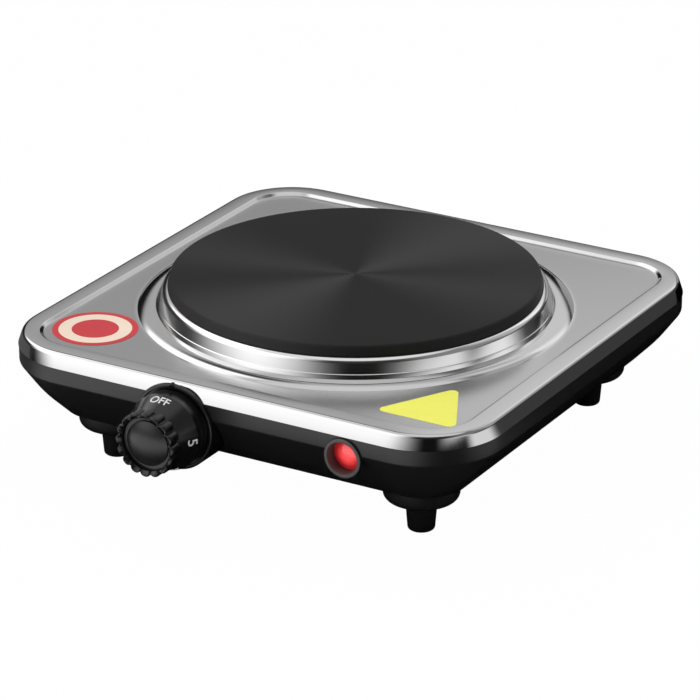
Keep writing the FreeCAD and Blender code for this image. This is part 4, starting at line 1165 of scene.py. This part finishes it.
class HOTPLATE_OT_lamp(bpy.types.Operator):
    """Build the pilot lamp's bezel and its glowing lens"""

    bl_idname = "hotplate.lamp"
    bl_label = "Lamp"

    def execute(self, context):
        s = context.scene.hotplate_lamp
        place = forward(s)
        bore = s.radius - BEZEL_WALL
        tube = soften(
            [
                (bore, BEZEL_REAR), (s.radius, BEZEL_REAR), (s.radius, 0.0), (bore, 0.0),
                (bore, BEZEL_REAR + 0.001), (bore, BEZEL_REAR),
            ],
            [0.0003, 0.0007, 0.0005, 0],
        )
        piece = spun("lamp_tube", tube[:-1], place, SMALL_STEPS, closed=True)
        # Front face and bore are marked for the painted highlight; the outer side is left dark
        painted_light = piece.data.attributes.new("painted_light", "FLOAT", "POINT")
        for vertex, entry in zip(piece.data.vertices, painted_light.data):
            reach = math.hypot(vertex.co.x - s.place_x, vertex.co.z - s.place_z)
            entry.value = 0.0 if reach > s.radius - 0.0002 else 1.0
        finish_piece(piece, "Bezel Black", "housing", "bezel_black", "lamp_bezel")
        outer = bore - 0.0001
        dome = [(outer - 0.0016, LENS_REAR), (outer, LENS_REAR), (outer, LENS_EDGE)]
        for step in range(1, 13):
            radius = outer * (1 - step / 12.2)
            dome.append((radius, LENS_EDGE + LENS_RISE * (1 - (radius / outer) ** 2)))
        piece = spun("lamp_dome", dome, place, SMALL_STEPS)
        finish_piece(piece, "Lens Red", "housing", "lens_red", "lamp_lens")
        return {"FINISHED"}


# Labels

LABEL_PLACE = (-0.0936, -0.0902)
LABEL_THICK = 0.0001
LABEL_BAND = (0.0115, 0.0179)
LABEL_RADIUS = 0.0210
LABEL_CORNER = 0.003


def label_disc(name, inner, outer, low):
    """Thin flat ring of the round label, or a disc where the inner radius is zero."""
    high = low + LABEL_THICK
    profile = [(outer, low), (outer, high)]
    if inner > 0:
        profile = [(inner, low), *profile, (inner, high)]
    place = standing(LABEL_PLACE[0], MIDDLE_Y + LABEL_PLACE[1])
    return spun(name, profile, place, SMALL_STEPS, closed=inner > 0)


def label_corner(top):
    """Thin label with three round corners."""
    corners = [Vector((0.0739, -0.1047)), Vector((0.1124, -0.1048)), Vector((0.0936, -0.0680))]
    middle = sum(corners, Vector((0, 0))) / 3
    corners = [point + (point - middle).normalized() * LABEL_CORNER for point in corners]
    centre = sum(corners, Vector((0, 0))) / 3
    outline = soften([corners[2], *corners, corners[0]], [LABEL_CORNER] * 3, 8)[1:-1]
    loops = []
    for shrink, height in ((1.0, top), (1.0, top + 0.00008), (0.995, top + LABEL_THICK)):
        loop = [centre + (point - centre) * shrink for point in outline]
        loops.append([Vector((point.x, point.y + MIDDLE_Y, height)) for point in loop])
    return skin("label_corner", loops)


class HOTPLATE_OT_labels(bpy.types.Operator):
    """Lay the plain round label and the plain corner label on the panel"""

    bl_idname = "hotplate.labels"
    bl_label = "Labels"

    def execute(self, context):
        top = context.scene.hotplate_cover.panel_top
        edge = label_disc("red_edge", LABEL_BAND[1], LABEL_RADIUS, top)
        middle = label_disc("red_middle", 0.0, LABEL_BAND[0], top)
        red = joined("label_round", [edge, middle])
        finish_piece(red, "Label Red", "housing", "cover_steel")
        cream = label_disc("label_band", *LABEL_BAND, top)
        finish_piece(cream, "Label Cream", "housing", "cover_steel")
        finish_piece(label_corner(top), "Label Yellow", "housing", "cover_steel")
        return {"FINISHED"}


# Cord bush: distances ahead are from the wall's outside

BUSH_BORE = 0.0036
BUSH_REAR = -0.0039
BUSH_BARB = -0.0021


class HOTPLATE_OT_gland(bpy.types.Operator):
    """Build the ribbed cord bush in the rear wall"""

    bl_idname = "hotplate.gland"
    bl_label = "Cord Bush"

    def execute(self, context):
        profile = soften(
            [
                (BUSH_BORE, BUSH_REAR), (BUSH_BORE, 0.0022), (0.0065, 0.0022), (0.0076, 0.0011),
                (0.0076, 0.0), (CORD_HOLE, 0.0), (CORD_HOLE, BUSH_BARB), (0.0064, BUSH_BARB),
                (0.0055, BUSH_REAR), (BUSH_BORE, BUSH_REAR),
            ],
            [0.0005, 0.0006, 0.0004, 0.0002, 0, 0, 0.0002, 0.0003],
            4,
        )
        place = rear_wall_place(context.scene.hotplate_base)
        piece = spun("cord_bush", profile[:-1], place, 72, closed=True)
        finish_piece(piece, "Rubber Black", "housing", "rubber_black", "cord_gland")
        return {"FINISHED"}


# Stage

CAMERA_TARGET = (0.02837, -0.05421, 0.0675)
FLOOR_RADIUS = 4.0
FLOOR_TOP = -0.0002
FLOOR_BASE = -0.0122
REAR_LAMPS = 0.50
ROOM_LEVEL = 0.008

# Softboxes round the object: two ends of the bearing from the camera's side and two ends of the
# height, each in degrees with its softness, and the brightness
SOFTBOXES = (
    ((-106, 14), (-38, 34), (12, 10), (24, 4), 1.72),
    ((-152, 7), (-38, 22), (24, 4), (60, 5), 1.60),
    ((-168, 4), (-152, 4), (38, 5), (60, 4), -0.50),
    ((26, 16), (66, 8), (13.5, 2), (20, 5), 1.08),
    ((60, 8), (102, 11), (-2, 5), (13, 2), 1.00),
    ((-150, 10), (-104, 8), (-4, 3), (14, 6), 0.035),
    ((40, 18), (102, 11), (20, 5), (58, 5), 0.25),
    ((102, 8), (150, 8), (-4, 3), (21, 4), 0.05),
    ((-40, 12), (40, 12), (26, 6), (62, 5), 0.03),
    ((102, 8), (150, 8), (21, 4), (58, 4), 0.50),
    ((140, 10), (200, 10), (19, 3), (62, 3), 0.56),
    ((-200, 10), (-140, 10), (19, 3), (62, 3), 0.56),
    ((-200, 1), (200, 1), (62, 5), (100, 5), 0.90),
)


def aimed(name, data, place, back):
    """Camera or lamp at a place, with its back to a direction."""
    holder = linked(name, data)
    holder.location = place
    holder.rotation_euler = back.to_track_quat("Z", "Y").to_euler()
    return holder


def set_camera(s):
    """Camera fitted to the outlines of the object."""
    level = math.cos(s.elevation)
    back = Vector((
        math.sin(s.azimuth) * level, -math.cos(s.azimuth) * level, math.sin(s.elevation)
    ))
    data = bpy.data.cameras.new("camera")
    data.lens = s.lens
    data.sensor_width = 36.0
    data.clip_start = 0.05
    data.clip_end = 50.0
    target = Vector(CAMERA_TARGET) + Vector((0, MIDDLE_Y, 0))
    bpy.context.scene.camera = aimed("camera", data, target + back * s.distance, back)


def floor_glow(tree):
    """Floor as seen in gloss: a painted glow for the lit floor, bright on the lamp side and dark
    behind the object, and left dark under the object as a painted shadow.
    """
    flat = vectors("MULTIPLY", place_on(tree), (1, 1, 0))
    bearing = use(tree, "Stage Bearing", Direction=flat)["Bearing"]
    right = soft_range(bearing, (42.0, 10.0), (72.0, 10.0))
    left = soft_range(bearing, (-84.0, 12.0), (0.0, 14.0))
    rear = soft_range(bearing, (-172.0, 8.0), (-90.0, 12.0))
    around = maths("MULTIPLY_ADD", rear, 0.07, maths("MULTIPLY_ADD", right, 0.45, left))
    # Painted shadow: the glow fades out within reach of the object
    away = eased(vectors("LENGTH", flat), 0.17, 0.25)
    level = maths("MULTIPLY", maths("MULTIPLY", away, around), 1.6)
    return add(tree, "ShaderNodeEmission", {"Strength": level}).outputs[0]


def lay_floor():
    """Pale floor: almost white to the camera, and with its own glow in gloss."""
    profile = [(FLOOR_RADIUS, FLOOR_BASE), (FLOOR_RADIUS, FLOOR_TOP)]
    piece = spun("studio_floor", profile, standing(0, MIDDLE_Y), 64)
    shader = surface("Floor Pale", {"Roughness": 0.9, "Specular IOR Level": 0.0})
    tree = shader.id_data
    grain = use(tree, "Grain", Scale=60.0, Blotch=2.0)
    vary_colour(shader, grain["Tone"], (0.86, 0.86, 0.86), 0.01)
    path = add(tree, "ShaderNodeLightPath").outputs
    white = add(tree, "ShaderNodeEmission").outputs[0]
    lower = blended(path["Is Glossy Ray"], shader.outputs[0], floor_glow(tree))
    seen = blended(maths("MULTIPLY", path["Is Camera Ray"], 0.985), lower, white)
    feed(tree.nodes["Material Output"], {"Surface": seen})
    paint(piece, "Floor Pale")


def soft_lamp(name, place, back, width, tall, energy):
    """Soft lamp that the camera doesn't see."""
    data = bpy.data.lights.new(name, "AREA")
    data.shape = "RECTANGLE"
    data.size = width
    data.size_y = tall
    data.energy = energy
    holder = aimed(name, data, place, back)
    holder.visible_camera = False
    return holder


def rear_lamp(s, name, left, right, low, high, level):
    """Upright lamp behind the object: its ends across the view, its height and brightness."""
    across = Vector((math.cos(s.azimuth), math.sin(s.azimuth), 0))
    behind = Vector((-math.sin(s.azimuth), math.cos(s.azimuth), 0))
    width, tall = right - left, high - low
    middle = Vector((0, MIDDLE_Y, (low + high) / 2))
    place = across * (left + right) / 2 + behind * REAR_LAMPS + middle
    soft_lamp(name, place, behind, width, tall, level * math.pi * width * tall)


def light_room():
    """Dark room with softboxes, which the camera sees as white."""
    world = bpy.data.worlds.new("studio")
    bpy.context.scene.world = world
    world.use_nodes = True
    tree = world.node_tree
    tree.nodes.clear()
    direction = add(tree, "ShaderNodeTexCoord").outputs["Generated"]
    around = use(tree, "Stage Bearing", Direction=direction)
    total = ROOM_LEVEL
    for left, right, low, high, strength in SOFTBOXES:
        across = soft_range(around["Bearing"], left, right)
        mask = maths("MULTIPLY", across, soft_range(around["Height"], low, high))
        total = maths("MULTIPLY_ADD", mask, strength, total)
    kind = "ShaderNodeBackground"
    studio = add(tree, kind, {"Color": WHITE, "Strength": total}).outputs[0]
    white = add(tree, kind, {"Color": WHITE}).outputs[0]
    seen = add(tree, "ShaderNodeLightPath").outputs["Is Camera Ray"]
    add(tree, "ShaderNodeOutputWorld", {"Surface": blended(seen, studio, white)})


class HOTPLATE_OT_stage(bpy.types.Operator):
    """Set the camera, the pale floor and the studio light"""

    bl_idname = "hotplate.stage"
    bl_label = "Stage"

    def execute(self, context):
        s = context.scene.hotplate_stage
        context.scene.view_settings.view_transform = "Standard"
        set_camera(s)
        bearing_group(s.azimuth)
        lay_floor()
        light_room()
        rear_lamp(s, "lamp_back_right", 0.03, 0.62, 0.25, 0.64, 0.28)
        rear_lamp(s, "lamp_low_right", 0.20, 0.46, 0.06, 0.21, 0.40)
        up = Vector((0, 0, 1))
        # Lights matt surfaces only, and isn't mirrored in the bright ones
        overhead = soft_lamp("lamp_overhead", Vector((0, MIDDLE_Y, 1.1)), up, 0.9, 0.9, 4.0)
        overhead.visible_glossy = False
        return {"FINISHED"}


class HOTPLATE_PT_panel(bpy.types.Panel):
    """Sizes, colours and pieces of the hot plate"""

    bl_idname = "HOTPLATE_PT_panel"
    bl_label = "Hot Plate"
    bl_space_type = "VIEW_3D"
    bl_region_type = "UI"
    bl_category = "Hot Plate"

    def draw(self, context):
        for name in SETTINGS:
            group_box = self.layout.box()
            settings = getattr(context.scene, name)
            for key in settings.__annotations__:
                group_box.prop(settings, key)
        for operator in PIECES:
            self.layout.operator(operator.bl_idname)


SETTINGS = {
    "hotplate_cover": CoverSettings,
    "hotplate_burner": BurnerSettings,
    "hotplate_base": BaseSettings,
    "hotplate_knob": KnobSettings,
    "hotplate_lamp": LampSettings,
    "hotplate_stage": StageSettings,
}
PIECES = [
    HOTPLATE_OT_finishes,
    HOTPLATE_OT_cover,
    HOTPLATE_OT_burner,
    HOTPLATE_OT_base,
    HOTPLATE_OT_feet,
    HOTPLATE_OT_knob,
    HOTPLATE_OT_lamp,
    HOTPLATE_OT_labels,
    HOTPLATE_OT_gland,
    HOTPLATE_OT_stage,
]


def register():
    """Add the settings, operators and panel."""
    for name, settings in SETTINGS.items():
        bpy.utils.register_class(settings)
        setattr(bpy.types.Scene, name, PointerProperty(type=settings))
    for operator in PIECES:
        bpy.utils.register_class(operator)
    bpy.utils.register_class(HOTPLATE_PT_panel)


def unregister():
    """Take the settings, operators and panel away."""
    bpy.utils.unregister_class(HOTPLATE_PT_panel)
    for operator in reversed(PIECES):
        bpy.utils.unregister_class(operator)
    for name, settings in reversed(SETTINGS.items()):
        delattr(bpy.types.Scene, name)
        bpy.utils.unregister_class(settings)


def main():
    """Build every piece in order."""
    register()
    bpy.ops.hotplate.finishes()
    bpy.ops.hotplate.cover()
    bpy.ops.hotplate.burner()
    bpy.ops.hotplate.base()
    bpy.ops.hotplate.feet()
    bpy.ops.hotplate.knob()
    bpy.ops.hotplate.lamp()
    bpy.ops.hotplate.labels()
    bpy.ops.hotplate.gland()
    bpy.ops.hotplate.stage()


if __name__ == "__main__":
    main()
